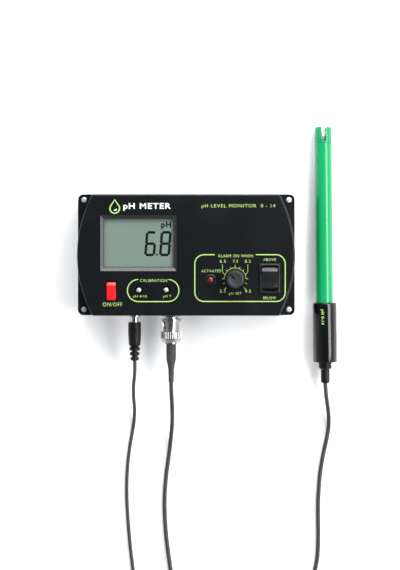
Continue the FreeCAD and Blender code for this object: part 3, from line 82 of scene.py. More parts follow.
class Finish:
    """One material: its Principled shader, its nodes, and the place that patterns are read at."""

    def __init__(self, name, **sockets):
        self.material = bpy.data.materials.new(name)
        self.material.use_nodes = True
        self.tree = self.material.node_tree
        self.shader = self.tree.nodes["Principled BSDF"]
        self.place = self.node("ShaderNodeTexCoord", {}, {}, "Object")
        self.set(**sockets)

    def node(self, kind, settings, sockets, output=0):
        made = self.tree.nodes.new(kind)
        for name, value in settings.items():
            if name == "stops":
                for stop, (position, level) in zip(made.color_ramp.elements, value):
                    stop.position = position
                    stop.color = (level, level, level, 1)
            else:
                setattr(made, name, value)
        for key, value in sockets.items():
            self.fill(made.inputs[key], value)
        return Signal(self, made.outputs[output])

    def fill(self, socket, value):
        if isinstance(value, Signal):
            self.tree.links.new(value.socket, socket)
        else:
            socket.default_value = value

    def set(self, **sockets):
        for name, value in sockets.items():
            self.fill(self.shader.inputs[name.replace("_", " ")], value)
        return self

    def noise(self, scale, detail=3.0):
        return self.node("ShaderNodeTexNoise", {}, {"Vector": self.place, "Scale": scale, "Detail": detail})

    def mix(self, factor, first, second):
        return self.node("ShaderNodeMix", {"data_type": "RGBA"},
                         {0: factor, 6: (*first, 1) if isinstance(first, tuple) else first,
                          7: (*second, 1) if isinstance(second, tuple) else second}, 2)

    def ramp(self, value, low, high):
        """Spreads the values between low and high over 0 to 1."""
        return self.node("ShaderNodeValToRGB", {"stops": ((low, 0), (high, 1))}, {0: value})

    def bump(self, height, strength, distance):
        normal = self.node("ShaderNodeBump", {}, {"Height": height, "Strength": strength,
                                                  "Distance": distance})
        return self.set(Normal=normal)


def moulded(name, color, roughness, grain=2600, strength=0.22, shift=0.35, shine=0.5):
    """Moulded plastic: a spark-eroded grain, patches that shine a little more, faint dust."""
    finish = Finish(name, Specular_IOR_Level=shine)
    patches = finish.noise(38, 4)
    skin = finish.noise(grain, 2)
    dust = finish.ramp(finish.noise(900, 5), 0.70, 0.80)
    lighter = tuple(min(1, channel * (1 + shift)) for channel in color)
    paint = finish.mix(patches, color, lighter)
    finish.set(Base_Color=finish.mix(dust * 0.05, paint, (0.42, 0.42, 0.40)))
    finish.set(Roughness=patches * 0.16 + (roughness - 0.08) + dust * 0.15)
    finish.bump(skin, strength, 0.00006)
    return finish


def plated(name, color, roughness):
    """Plated metal: polished, with fine rubbed marks and a few duller patches."""
    finish = Finish(name, Metallic=1.0)
    haze = finish.noise(120, 5)
    rubbed = finish.noise(5200, 2)
    darker = tuple(channel * 0.82 for channel in color)
    finish.set(Base_Color=finish.mix(finish.ramp(haze, 0.35, 0.7), color, darker))
    finish.set(Roughness=haze * 0.14 + rubbed * 0.05 + (roughness - 0.08))
    finish.bump(rubbed, 0.06, 0.00002)
    return finish


def dress(finish, *names):
    """Gives CAD nodes that keep their own shape a finish."""
    for name in names:
        mesh = nodes[name].data
        mesh.materials.clear()
        mesh.materials.append(finish.material)


# The table is one wide pale sheet.  The light is a long soft box up to the right, a smaller one
# beyond the case's top edge, a weak one opposite that shows in no gloss, and the pale room all
# round, which is brighter near the horizon than overhead, and towards the light than away from it.
bpy.ops.object.select_all(action="DESELECT")
bpy.ops.mesh.primitive_plane_add(size=6, location=(0, 0, 0))
table = bpy.context.object
table.name = "table"
table_paint = Finish("table_paper", Roughness=0.9)
table_clouds = table_paint.noise(3, 2)
table_paint.set(Base_Color=table_paint.mix(table_clouds, (0.86, 0.86, 0.87), (0.89, 0.89, 0.89)))
table.data.materials.append(table_paint.material)


def soft_box(name, place, aim, wide, high, power):
    bpy.ops.object.light_add(type="AREA", location=place)
    light = bpy.context.object
    light.name = name
    light.data.shape = "RECTANGLE"
    light.data.size = wide
    light.data.size_y = high
    light.data.energy = power
    light.rotation_euler = (Vector(aim) - Vector(place)).to_track_quat("-Z", "Y").to_euler()
    return light


soft_box("key_box", (0.78, 0.25, 0.92), (0.0, 0.0, 0.0), 1.7, 0.5, 23.5)
soft_box("top_box", (0.1, 1.1, 0.85), (0.0, 0.0, 0.0), 1.2, 0.7, 21)
soft_box("fill_box", (-0.9, -0.6, 1.1), (0.0, 0.0, 0.0), 1.0, 1.0, 12).visible_glossy = False
world = bpy.data.worlds.new("studio_room")
world.use_nodes = True
room = world.node_tree
gaze = room.nodes.new("ShaderNodeTexCoord")
parts = room.nodes.new("ShaderNodeSeparateXYZ")
height = room.nodes.new("ShaderNodeMath")
height.operation = "ABSOLUTE"
walls = room.nodes.new("ShaderNodeValToRGB")
walls.color_ramp.elements[0].position = 0.25
walls.color_ramp.elements[0].color = (1.05, 1.07, 1.12, 1)
walls.color_ramp.elements[1].position = 0.92
walls.color_ramp.elements[1].color = (0.15, 0.16, 0.172, 1)
side = room.nodes.new("ShaderNodeVectorMath")
side.operation = "DOT_PRODUCT"
side.inputs[1].default_value = (0.3, 0.25, 0)
strength = room.nodes.new("ShaderNodeMath")
strength.inputs[1].default_value = 0.85
room.links.new(gaze.outputs["Generated"], side.inputs[0])
room.links.new(side.outputs["Value"], strength.inputs[0])
room.links.new(strength.outputs["Value"], room.nodes["Background"].inputs["Strength"])
room.links.new(gaze.outputs["Generated"], parts.inputs["Vector"])
room.links.new(parts.outputs["Z"], height.inputs[0])
room.links.new(height.outputs["Value"], walls.inputs["Fac"])
room.links.new(walls.outputs["Color"], room.nodes["Background"].inputs["Color"])
bpy.context.scene.world = world
bpy.context.scene.view_settings.view_transform = "Standard"

# The power lead is 2.5 mm twin flex in a soft black sheath.  It runs from the plug to the table and
# on to a neat coil, 14 turns in four layers, and from the coil's top to the adapter.
sheath = Finish("lead_sheath", Specular_IOR_Level=0.5)
sheath_skin = sheath.noise(700, 3)
sheath.set(Base_Color=sheath.mix(sheath_skin, (0.012, 0.012, 0.013), (0.035, 0.035, 0.036)))
sheath.set(Roughness=sheath_skin * 0.22 + 0.3)
sheath.bump(sheath_skin, 0.1, 0.00008)
lead_diameter = 0.0025
lead_lie = 1.3


def coil_turns(centre, turns, start_angle, direction, offsets, layer_of, level, pitch):
    """Points of wound turns: 16 to a turn, each turn sliding over to the next one's radius."""
    points = []
    steps = int(round(turns * 16))
    for step in range(steps + 1):
        turn = step / 16
        index = min(int(turn), len(offsets) - 1)
        after = min(index + 1, len(offsets) - 1)
        slide = max(0.0, (turn - index) - 0.7) / 0.3
        ease = min(1.0, slide) if after != index else 0.0
        radius = offsets[index] + (offsets[after] - offsets[index]) * ease
        height = level + (layer_of[index] + (layer_of[after] - layer_of[index]) * ease) * pitch
        angle = start_angle + direction * 2 * math.pi * turn
        points.append((centre[0] + radius * math.cos(angle), centre[1] + radius * math.sin(angle),
                       height))
    return points


def lead_curve(name, route, diameter):
    """One smooth lead through its route, in millimetres, as a round-sectioned curve."""
    curve = bpy.data.curves.new(name, "CURVE")
    curve.dimensions = "3D"
    line = curve.splines.new("NURBS")
    line.points.add(len(route) - 1)
    for point, place in zip(line.points, route):
        point.co = (place[0] * MM, place[1] * MM, place[2] * MM, 1)
    line.order_u = 3
    line.use_endpoint_u = True
    line.resolution_u = 4
    curve.bevel_depth = diameter / 2
    curve.bevel_resolution = 4
    curve.use_fill_caps = True
    piece = bpy.data.objects.new(name, curve)
    bpy.context.collection.objects.link(piece)
    curve.materials.append(sheath.material)
    return piece


power_coil = (-55, -252)
outward = [17.9, 15.3, 12.7, 10.1]
between = [11.4, 14.0, 16.6]
power_turns = coil_turns(power_coil, 14.25, 0.0, -1, outward + between + outward + between + [16.6],
                         [0] * 4 + [1] * 3 + [2] * 4 + [3] * 4, lead_lie, 2.25)
power_route = [
    (-36.4, -74.2, 20), (-36.1, -82.5, 19.8), (-37.6, -92, 16.2), (-37.9, -102, 10),
    (-37.3, -112, 4.4), (-38.4, -122.5, 1.5), (-40.9, -135.5, lead_lie), (-42.9, -151, lead_lie),
    (-43.6, -170, lead_lie), (-42.5, -191, lead_lie), (-40.6, -212, lead_lie), (-38.3, -230, lead_lie),
    (-37.2, -244, lead_lie)]
power_route += power_turns + [(-64.5, -268.6, 8.1), (-71.5, -268.9, 9.2), (-79.5, -269.8, 12),
                              (-89, -270, 13)]
power_lead = lead_curve("power_lead_run", power_route, lead_diameter)
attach(power_lead, "power_supply_lead")
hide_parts("power_lead", "power_coil", "power_lead_tail")

# The electrode's lead is 3 mm screened cable.  It leaves the bayonet plug's boot, lies along the
# table to a coil of five turns in two layers, and comes back up to the electrode's cap.
cable_diameter = 0.003
cable_lie = 1.55
electrode_coil = (10, -254)
electrode_turns = coil_turns(electrode_coil, 5.25, math.pi, 1, [20.1, 17.0, 13.9, 15.45, 18.55, 18.55],
                             [0, 0, 0, 1, 1, 1], cable_lie, 2.7)
electrode_route = [
    (-10.9, -89.6, 20), (-10.7, -99, 19.8), (-10.2, -110, 15.4), (-10.6, -121, 8.6),
    (-11.8, -132, 3.5), (-13.2, -144, cable_lie), (-15.4, -159, cable_lie), (-16.6, -178, cable_lie),
    (-15.6, -199, cable_lie), (-13, -219, cable_lie), (-10.7, -235, cable_lie), (-10.1, -246, cable_lie)]
electrode_route += electrode_turns + [
    (21.4, -272.5, 4), (38, -271.6, 1.95), (57, -266.5, cable_lie), (74, -255, cable_lie),
    (86.5, -240, cable_lie), (92.6, -222, cable_lie), (93.6, -203, cable_lie), (93.1, -181, cable_lie),
    (94.2, -160, cable_lie), (96.6, -144.5, cable_lie), (99.6, -132, cable_lie), (101.1, -121.5, 2.2),
    (100.2, -111, 6.2), (98.3, -100.5, 9.6), (97.8, -91.4, 9.6)]
electrode_lead = lead_curve("electrode_lead_run", electrode_route, cable_diameter)
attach(electrode_lead, "case")
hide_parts("electrode_lead", "electrode_coil", "electrode_lead_return")

# The case, the screws, the metal fittings and the soft mouldings get their finishes here.  Those
# that no later section replaces keep the shape that they were designed with.
black_case = moulded("case_plastic_black", (0.0020, 0.0028, 0.0033), 0.36, shine=0.27)
dress(black_case, "base_tray", "front_cover")
zinc = plated("screw_zinc", (0.88, 0.88, 0.87), 0.5)
dress(zinc, "case_screws", "board_screws", "offset_screw", "slope_screw")
nickel = plated("bright_nickel", (0.50, 0.49, 0.47), 0.13)
dress(nickel, "bnc_socket", "bnc_nut", "bnc_plug", "bnc_ring", "power_plug_barrel", "power_jack_pin",
      "jack_nut", "control_nut", "setpoint_shaft", "adapter_blades")
gold = plated("contact_gold", (0.83, 0.62, 0.27), 0.2)
dress(gold, "bnc_contact", "bnc_pin")
bezel_grey = moulded("bezel_grey", (0.012, 0.013, 0.014), 0.26, strength=0.06)
dress(bezel_grey, "display_bezel", "display_holder")
black_nylon = moulded("switch_nylon", (0.006, 0.0068, 0.0072), 0.3, strength=0.08, shine=0.4)
dress(black_nylon, "power_switch_body", "alarm_switch_body", "alarm_rocker", "lamp_ring", "power_jack",
      "setpoint_knob", "setpoint_control", "offset_trimmer", "slope_trimmer", "electrode_cap")
soft_black = moulded("overmould_black", (0.0035, 0.0035, 0.004), 0.4, strength=0.15, shine=0.22)
soft_grey = moulded("boot_grey", (0.028, 0.030, 0.031), 0.5, strength=0.15, shine=0.25)
dress(soft_black, "power_plug_grip", "bnc_boot", "electrode_relief", "adapter_strain_relief",
      "adapter_lower_shell", "adapter_upper_shell")
board_green = moulded("board_green", (0.015, 0.11, 0.045), 0.35, grain=900)
dress(board_green, "main_board")
red = moulded("rocker_red", (0.62, 0.008, 0.009), 0.25, strength=0.05, shift=0.1)
dress(red, "power_rocker", "alarm_lamp")
tube_green = moulded("epoxy_green", (0.004, 0.25, 0.085), 0.16, strength=0.03, shift=0.12)
dress(tube_green, "electrode_tube", "electrode_guard")
white_plastic = moulded("insulator_white", (0.85, 0.85, 0.82), 0.4)
dress(white_plastic, "bnc_insulator", "glass_bulb")
display_paint = moulded("display_grey", (0.27, 0.36, 0.30), 0.2, strength=0.01, shift=0.03)
dress(display_paint, "display_glass")

# Inside the case the chips and the regulator are moulded epoxy, the capacitor is in a shrunk sleeve,
# the strips under the glass are soft rubber, and the switches' pins and tabs are tinned brass.  The
# transformer's core is varnished steel sheet, and the electrode's reference is a silver wire.
chip_epoxy = moulded("chip_epoxy", (0.014, 0.014, 0.015), 0.6, grain=1400, strength=0.12)
dress(chip_epoxy, "board_chips", "voltage_regulator")
sleeve_blue = moulded("capacitor_sleeve_blue", (0.008, 0.02, 0.09), 0.28, strength=0.04)
dress(sleeve_blue, "smoothing_capacitor")
contact_rubber = moulded("contact_rubber_pink", (0.42, 0.26, 0.24), 0.7, grain=1200)
dress(contact_rubber, "contact_strips")
tinned_brass = plated("tinned_brass", (0.78, 0.77, 0.74), 0.38)
dress(tinned_brass, "power_switch_pins", "alarm_switch_tabs")
core_steel = plated("core_steel_varnished", (0.30, 0.28, 0.25), 0.5)
dress(core_steel, "adapter_transformer")
silver_wire = plated("silver_wire", (0.88, 0.87, 0.84), 0.3)
dress(silver_wire, "reference_wire")

# The front cover is one black moulding.  Its artwork is screen printed on the raised panel in two
# inks, yellow-green and white, each a film that stands a few hundredths of a millimetre proud.
panel_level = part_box("front_cover")[1][2]
ink_thick = 0.05
green_ink = Finish("ink_green", Roughness=0.5)
ink_speckle = green_ink.noise(1800, 4)
green_ink.set(Base_Color=green_ink.mix(ink_speckle, (0.27, 0.46, 0.10), (0.34, 0.54, 0.15)))
green_ink.bump(ink_speckle, 0.15, 0.00004)
white_ink = Finish("ink_white", Roughness=0.5)
white_ink.set(Base_Color=white_ink.mix(white_ink.noise(1800, 4), (0.72, 0.72, 0.71), (0.86, 0.86, 0.85)))


def start():
    """Nothing selected, so that the next primitive is worked on alone."""
    if bpy.context.object and bpy.context.object.mode == "EDIT":
        bpy.ops.object.mode_set(mode="OBJECT")
    bpy.ops.object.select_all(action="DESELECT")


def settle(piece):
    """Puts a piece's place into its mesh, so that the object itself stands at the origin."""
    start()
    piece.select_set(True)
    bpy.context.view_layer.objects.active = piece
    bpy.ops.object.transform_apply(location=True, rotation=True, scale=True)
    return piece


def as_mesh(piece):
    start()
    piece.select_set(True)
    bpy.context.view_layer.objects.active = piece
    bpy.ops.object.convert(target="MESH")
    return bpy.context.object


def merge(name, pieces):
    """Joins meshes into one piece."""
    start()
    for piece in pieces:
        piece.select_set(True)
    bpy.context.view_layer.objects.active = pieces[0]
    bpy.ops.object.join()
    pieces[0].name = name
    pieces[0].data.name = name
    return settle(pieces[0])


def flatten(piece, level, thick):
    """Squeezes a drawn shape to a film of the given thickness that lies on a level."""
    heights = [corner[2] for corner in piece.bound_box]
    tall = max(heights) - min(heights)
    middle = (max(heights) + min(heights)) / 2
    for vertex in piece.data.vertices:
        vertex.co.z = level + ((vertex.co.z - middle) / tall + 0.5) * thick
    return piece


def letters(words, middle, wide, high, level, weight=-0.004):
    """Printed characters, fitted to a width and a height in millimetres about their middle."""
    start()
    bpy.ops.object.text_add(location=(0, 0, 0))
    text = bpy.context.object
    text.data.body = words
    text.data.extrude = 0.01
    text.data.offset = weight
    text.data.space_character = 1.14
    text.data.resolution_u = 3
    piece = as_mesh(text)
    xs = [corner[0] for corner in piece.bound_box]
    ys = [corner[1] for corner in piece.bound_box]
    for vertex in piece.data.vertices:
        vertex.co.x = (middle[0] + ((vertex.co.x - min(xs)) / (max(xs) - min(xs)) - 0.5) * wide) * MM
        vertex.co.y = (middle[1] + ((vertex.co.y - min(ys)) / (max(ys) - min(ys)) - 0.5) * high) * MM
    return flatten(piece, level, ink_thick * MM)


def stroke(path, width, level, closed=False):
    """A printed line of one width through points in millimetres."""
    curve = bpy.data.curves.new("stroke", "CURVE")
    curve.dimensions = "3D"
    line = curve.splines.new("POLY")
    line.points.add(len(path) - 1)
    for point, place in zip(line.points, path):
        point.co = (place[0] * MM, place[1] * MM, 0, 1)
    line.use_cyclic_u = closed
    curve.bevel_depth = width / 2 * MM
    curve.bevel_resolution = 1
    curve.use_fill_caps = True
    piece = bpy.data.objects.new("stroke", curve)
    bpy.context.collection.objects.link(piece)
    return flatten(as_mesh(piece), level, ink_thick * MM)


def arc(middle, radius, first, last, steps=10):
    """Points along part of a circle, between two angles in degrees."""
    angles = [math.radians(first + (last - first) * step / steps) for step in range(steps + 1)]
    return [(middle[0] + radius * math.cos(angle), middle[1] + radius * math.sin(angle))
            for angle in angles]


def gapped_frame(low, high, radius, gap, width, level):
    """A rounded frame whose top line is broken between the two ends of the gap."""
    left, right = low[0] + radius, high[0] - radius
    bottom, top = low[1] + radius, high[1] - radius
    path = [(gap[1], high[1])] + arc((right, top), radius, 90, 0) + arc((right, bottom), radius, 0, -90)
    path += arc((left, bottom), radius, -90, -180) + arc((left, top), radius, 180, 90)
    path += [(gap[0], high[1])]
    return stroke(path, width, level)


dial = (33.7, -16.3)


def dial_point(radius, angle):
    return arc(dial, radius, angle, angle, 1)[0]


def dial_scale(level):
    """The set-point scale: an arc, a tick every 22.5 degrees and lead lines to its numbers."""
    lines = [stroke(arc(dial, 7.45, 0, 180, 30), 0.36, level)]
    for step in range(13):
        angle = 225 - 22.5 * step
        on_line = step in (3, 6, 9)
        outer = 9.5 if step == 6 else 8.9 if not on_line else 8.4
        lines.append(stroke([dial_point(8.4 if step in (0, 12) else 7.5, angle),
                             dial_point(10.4 if step in (0, 12) else outer, angle)], 0.34, level))
    lines.append(stroke([(25.0, -6.3), (25.0, -11.6), dial_point(8.2, 157.5)], 0.34, level))
    lines.append(stroke([(42.4, -6.3), (42.4, -11.6), dial_point(8.2, 22.5)], 0.34, level))
    return lines


film = panel_level
green_print = [gapped_frame((-40.3, -32.0), (-4.9, -16.8), 7.55, (-33.3, -12.0), 0.76, film),
               gapped_frame((6.0, -31.9), (68.1, 0.2), 6.3, (19.6, 47.9), 0.78, film)]
green_print += dial_scale(film)
for words, middle, wide, high in (
        ("CALIBRATION", (-22.3, -17.5), 18.6, 1.9), ("pH 4/10", (-31.6, -28.6), 9.4, 2.3),
        ("pH 7", (-13.0, -28.6), 5.4, 2.3), ("ON/OFF", (-50.5, -33.9), 13.4, 2.6),
        ("ALARM ON WHEN", (34.0, -0.6), 24.2, 1.95), ("ABOVE", (57.4, -3.1), 8.8, 1.9),
        ("BELOW", (57.4, -29.4), 8.8, 1.9), ("ACTIVATED", (17.3, -10.9), 13.6, 1.9),
        ("6.5", (25.3, -4.3), 4.0, 2.0), ("7.5", (33.9, -4.3), 3.5, 2.0), ("8.5", (42.4, -4.3), 4.0, 2.0),
        ("5.5", (25.3, -24.8), 4.0, 2.0), ("9.5", (42.6, -24.8), 4.0, 2.0),
        ("pH SET", (33.8, -26.6), 8.6, 2.3),
        ("pH LEVEL MONITOR  0 - 14", (36.0, 33.5), 50.6, 3.0)):
    green_print.append(letters(words, middle, wide, high, film))
droplet = arc((-49.0, 32.0), 3.3, 35, -215, 24) + [(-49.0, 37.9)]
green_print.append(stroke(droplet, 0.95, film, closed=True))
panel_green = merge("panel_print_green", green_print)
panel_green.data.materials.clear()
panel_green.data.materials.append(green_ink.material)
panel_white = merge("panel_print_white", [letters("pH METER", (-26.8, 33.1), 32.6, 5.2, film, 0.018),
                                          stroke(arc((-49.0, 32.2), 1.5, 250, 340, 6), 0.7, film)])
panel_white.data.materials.clear()
panel_white.data.materials.append(white_ink.material)
for artwork in (panel_green, panel_white):
    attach(artwork, "case")

# The display is a reflective liquid-crystal cell behind a bevelled frame.  It reads 6.8: each
# segment is a dark bar with pointed ends, leaning a little to the right, with the unit above it.
segment_ink = Finish("display_segments", Base_Color=(0.0015, 0.003, 0.0025, 1), Roughness=0.6,
                     Specular_IOR_Level=0.1)
segment_ink.bump(segment_ink.noise(2400, 2), 0.05, 0.00002)
cell_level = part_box("display_glass")[1][2]
digit_tall = 15.55
digit_wide = 5.85
digit_foot = -0.02
bar_wide = 1.75


def lean(x, y):
    return (x + (y - digit_foot) * 0.08, y)


def bar(first, last, width, level):
    """A display segment: a six-sided bar with pointed ends between two points in millimetres."""
    start()
    along = Vector((last[0] - first[0], last[1] - first[1]))
    middle = ((first[0] + last[0]) / 2 * MM, (first[1] + last[1]) / 2 * MM, 0)
    bpy.ops.mesh.primitive_cylinder_add(vertices=6, radius=width / math.sqrt(3) * MM, depth=1.0,
                                        location=(0, 0, 0))
    piece = bpy.context.object
    turn = math.atan2(along.y, along.x)
    stretch = (along.length - 2 * width / math.sqrt(3) - 0.25) / 2 * MM
    for vertex in piece.data.vertices:
        place = Matrix.Rotation(math.radians(30), 4, "Z") @ vertex.co
        place.x += math.copysign(stretch, place.x)
        vertex.co = Matrix.Rotation(turn, 4, "Z") @ place + Vector(middle)
    return flatten(piece, level, ink_thick * MM)


def digit(left, shown):
    """One seven-segment digit; shown names its lit segments, a to g."""
    right = left + digit_wide
    half = digit_foot + digit_tall / 2
    top = digit_foot + digit_tall
    ends = {"a": ((left, top), (right, top)), "b": ((right, half), (right, top)),
            "c": ((right, digit_foot), (right, half)), "d": ((left, digit_foot), (right, digit_foot)),
            "e": ((left, digit_foot), (left, half)), "f": ((left, half), (left, top)),
            "g": ((left, half), (right, half))}
    return [bar(lean(*ends[name][0]), lean(*ends[name][1]), bar_wide, cell_level) for name in shown]


start()
bpy.ops.mesh.primitive_cylinder_add(vertices=20, radius=0.7 * MM, depth=1.0,
                                    location=(-20.2 * MM, 0.15 * MM, 0))
point = flatten(settle(bpy.context.object), cell_level, ink_thick * MM)
unit = letters("pH", (-13.85, 20.3), 6.9, 5.5, cell_level, 0.035)
reading = merge("display_reading", digit(-28.1, "acdefg") + digit(-17.9, "abcdefg") + [point, unit])
reading.data.materials.clear()
reading.data.materials.append(segment_ink.material)
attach(reading, "case")
cell = Finish("display_cell", Roughness=0.28, Coat_Weight=0.35, Coat_Roughness=0.08)
cell_clouds = cell.noise(30, 2)
cell.set(Base_Color=cell.mix(cell_clouds, (0.106, 0.152, 0.127), (0.134, 0.178, 0.150)))
cell.bump(cell.noise(4000, 2), 0.05, 0.00001)
dress(cell, "display_glass")


# Small mouldings keep the shape they were designed with and only have their sharp edges taken off,
# as a mould leaves them.
def ease_edges(name, width, finish, body, segments=2, limit=32):
    """A copy of a CAD node with its sharp edges rounded, which stands for the node."""
    start()
    piece = bpy.data.objects.new(name + "_eased", nodes[name].data.copy())
    bpy.context.collection.objects.link(piece)
    piece.select_set(True)
    bpy.context.view_layer.objects.active = piece
    bpy.ops.object.mode_set(mode="EDIT")
    bpy.ops.mesh.select_all(action="SELECT")
    bpy.ops.mesh.remove_doubles(threshold=0.000002)
    bpy.ops.mesh.dissolve_limited(angle_limit=math.radians(1.5))
    bpy.ops.object.mode_set(mode="OBJECT")
    rounding = piece.modifiers.new("edges", "BEVEL")
    rounding.width = width * MM
    rounding.segments = segments
    rounding.limit_method = "ANGLE"
    rounding.angle_limit = math.radians(limit)
    rounding.miter_outer = "MITER_ARC"
    bpy.ops.object.modifier_apply(modifier=rounding.name)
    bpy.ops.object.shade_smooth_by_angle(angle=math.radians(28))
    piece.data.materials.clear()
    piece.data.materials.append(finish.material)
    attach(piece, body)
    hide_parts(name)
    return piece




# Small turned and moulded pieces are modelled from their own primitives.  A stack starts as one
# disc and grows along +Z by extruding its top face and resizing it, ring after ring.
def stack(name, rings, finish, steps=48):
    """A turned piece: rings are (radius, height) in millimetres, from the bottom up."""
    start()
    bpy.ops.mesh.primitive_circle_add(vertices=steps, radius=rings[0][0] * MM, fill_type="NGON",
                                      location=(0, 0, rings[0][1] * MM))
    piece = bpy.context.object
    piece.name = name
    bpy.ops.object.transform_apply(location=True, rotation=True, scale=True)
    bpy.ops.object.mode_set(mode="EDIT")
    bpy.ops.mesh.select_all(action="SELECT")
    for before, after in zip(rings, rings[1:]):
        rise = (after[1] - before[1]) * MM
        bpy.ops.mesh.extrude_region_move(TRANSFORM_OT_translate={"value": (0, 0, rise)})
        size = after[0] / before[0]
        bpy.ops.transform.resize(value=(size, size, 1), center_override=(0, 0, after[1] * MM))
    bpy.ops.mesh.select_all(action="SELECT")
    bpy.ops.mesh.normals_make_consistent(inside=False)
    bpy.ops.object.mode_set(mode="OBJECT")
    piece.data.materials.append(finish.material)
    return piece


def carve(piece, tool):
    """Cuts one closed mesh out of another and throws the tool away."""
    start()
    piece.select_set(True)
    bpy.context.view_layer.objects.active = piece
    cutter = piece.modifiers.new("carve", "BOOLEAN")
    cutter.operation = "DIFFERENCE"
    cutter.solver = "EXACT"
    cutter.object = tool
    bpy.ops.object.modifier_apply(modifier=cutter.name)
    bpy.data.objects.remove(tool)
    return piece


def soften(piece, width, segments=2, limit=40, smooth=30):
    """Rounds a piece's sharp edges and shades it smooth up to an angle."""
    start()
    piece.select_set(True)
    bpy.context.view_layer.objects.active = piece
    if width:
        rounding = piece.modifiers.new("rounding", "BEVEL")
        rounding.width = width * MM
        rounding.segments = segments
        rounding.limit_method = "ANGLE"
        rounding.angle_limit = math.radians(limit)
        bpy.ops.object.modifier_apply(modifier=rounding.name)
    bpy.ops.object.shade_smooth_by_angle(angle=math.radians(smooth))
    return piece


def stand(piece, place, turn=None):
    """Moves a piece from the origin to its place in millimetres, turned first if need be."""
    for vertex in piece.data.vertices:
        moved = turn @ vertex.co if turn else vertex.co
        vertex.co = moved + Vector(place) * MM
    return piece


def stands_for(piece, body, slot, *names):
    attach(piece, body)
    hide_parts(*names)


def bar_tool(low, high):
    """A closed block between two corners in millimetres, to carve with."""
    start()
    middle = [(a + b) / 2 * MM for a, b in zip(low, high)]
    bpy.ops.mesh.primitive_cube_add(size=1, location=middle)
    tool = bpy.context.object
    tool.scale = [(b - a) * MM for a, b in zip(low, high)]
    bpy.ops.object.transform_apply(location=True, rotation=True, scale=True)
    return tool


def box_mm(name):
    low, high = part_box(name)
    return [value / MM for value in low], [value / MM for value in high]


def box_middle(name):
    low, high = box_mm(name)
    return (low[0] + high[0]) / 2, (low[1] + high[1]) / 2


# The set-point knob is a grey thermoset: a skirt, a slightly tapered grip with fine flutes round
# it, and a straight pointer groove with a black floor that runs from the rim to the middle.
low, high = box_mm("setpoint_knob")
knob_foot = low[2]
knob_crown = high[2]
knob_middle = box_middle("setpoint_knob")
pointer_angle = Matrix.Rotation(math.radians(135), 4, "Z")
knob_grey = moulded("knob_grey", (0.020, 0.021, 0.022), 0.36, strength=0.12, shine=0.34)
knob = stack("setpoint_knob_fluted", [(6.45, knob_foot), (6.45, knob_foot + 2.1), (6.1, knob_foot + 2.6),
                                      (5.75, knob_foot + 3.1), (5.62, knob_foot + 3.2),
                                      (5.4, knob_crown - 0.5), (5.15, knob_crown - 0.15),
                                      (4.7, knob_crown), (4.2, knob_crown), (4.05, knob_crown - 0.25),
                                      (0.4, knob_crown - 0.3)], knob_grey, 72)
stand(knob, (*knob_middle, 0))
flute_count = 24
flute_at_pointer = 9
flutes = []
for step in range(flute_count):
    if step == flute_at_pointer:
        continue
    angle = math.radians(360 / flute_count * step)
    start()
    bpy.ops.mesh.primitive_cylinder_add(vertices=10, radius=0.33 * MM, depth=9 * MM,
                                        location=((knob_middle[0] + 5.72 * math.cos(angle)) * MM,
                                                  (knob_middle[1] + 5.72 * math.sin(angle)) * MM,
                                                  (knob_foot + 8.2) * MM))
    flutes.append(bpy.context.object)
carve(knob, merge("flute_tools", flutes))
groove = bar_tool((0.4, -0.55, knob_crown - 1.1), (6.2, 0.42, knob_crown + 1))
stand(groove, (*knob_middle, 0), pointer_angle)
carve(knob, groove)
underside = stack("knob_underside", [(5.2, knob_foot - 1), (5.2, knob_foot + 2)], knob_grey, 48)
carve(knob, stand(underside, (*knob_middle, 0)))
soften(knob, 0.1, 1, 50)
stands_for(knob, "setpoint_knob", "knob_grey", "setpoint_knob")
pointer = bar_tool((0.5, -0.53, knob_crown - 1.15), (5.0, 0.53, knob_crown - 0.75))
stand(pointer, (*knob_middle, 0), pointer_angle)
pointer.name = "knob_pointer_fill"
groove_black = moulded("pointer_groove_black", (0.003, 0.003, 0.003), 0.7, shine=0.1)
pointer.data.materials.append(groove_black.material)
soften(pointer, 0.08, 1)
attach(pointer, "setpoint_knob")

# The alarm lamp is a clear dark-red dome of moulded acrylic, pushed into its hole from behind.  Its
# black ring is a turned nylon bezel with a rolled edge.
lamp_middle = box_middle("lamp_ring")
ring_foot = panel_level / MM
ring = stack("lamp_ring_turned", [(3.82, ring_foot), (3.82, ring_foot + 0.45), (3.66, ring_foot + 0.8),
                                  (3.35, ring_foot + 0.97), (2.95, ring_foot + 0.9),
                                  (2.62, ring_foot + 0.45)], black_nylon, 64)
soften(stand(ring, (*lamp_middle, 0)), 0)
hole = stack("ring_hole", [(2.5, ring_foot - 2), (2.5, ring_foot + 2)], black_nylon, 48)
carve(ring, stand(hole, (*lamp_middle, 0)))
soften(ring, 0, smooth=35)
stands_for(ring, "case", "switch_black", "lamp_ring")
lamp_red = Finish("lamp_red", Roughness=0.07, Coat_Weight=0.6, Coat_Roughness=0.03)
# The red is painted lighter where the dome faces the camera and darker towards its rim: painted shading, not
# the dome's own colour.
painted_rim_shade = lamp_red.node("ShaderNodeLayerWeight", {}, {"Blend": 0.35}, "Facing")
lamp_red.set(Base_Color=lamp_red.mix(painted_rim_shade, (0.085, 0.001, 0.003), (0.02, 0.001, 0.001)))
dress(lamp_red, "alarm_lamp")

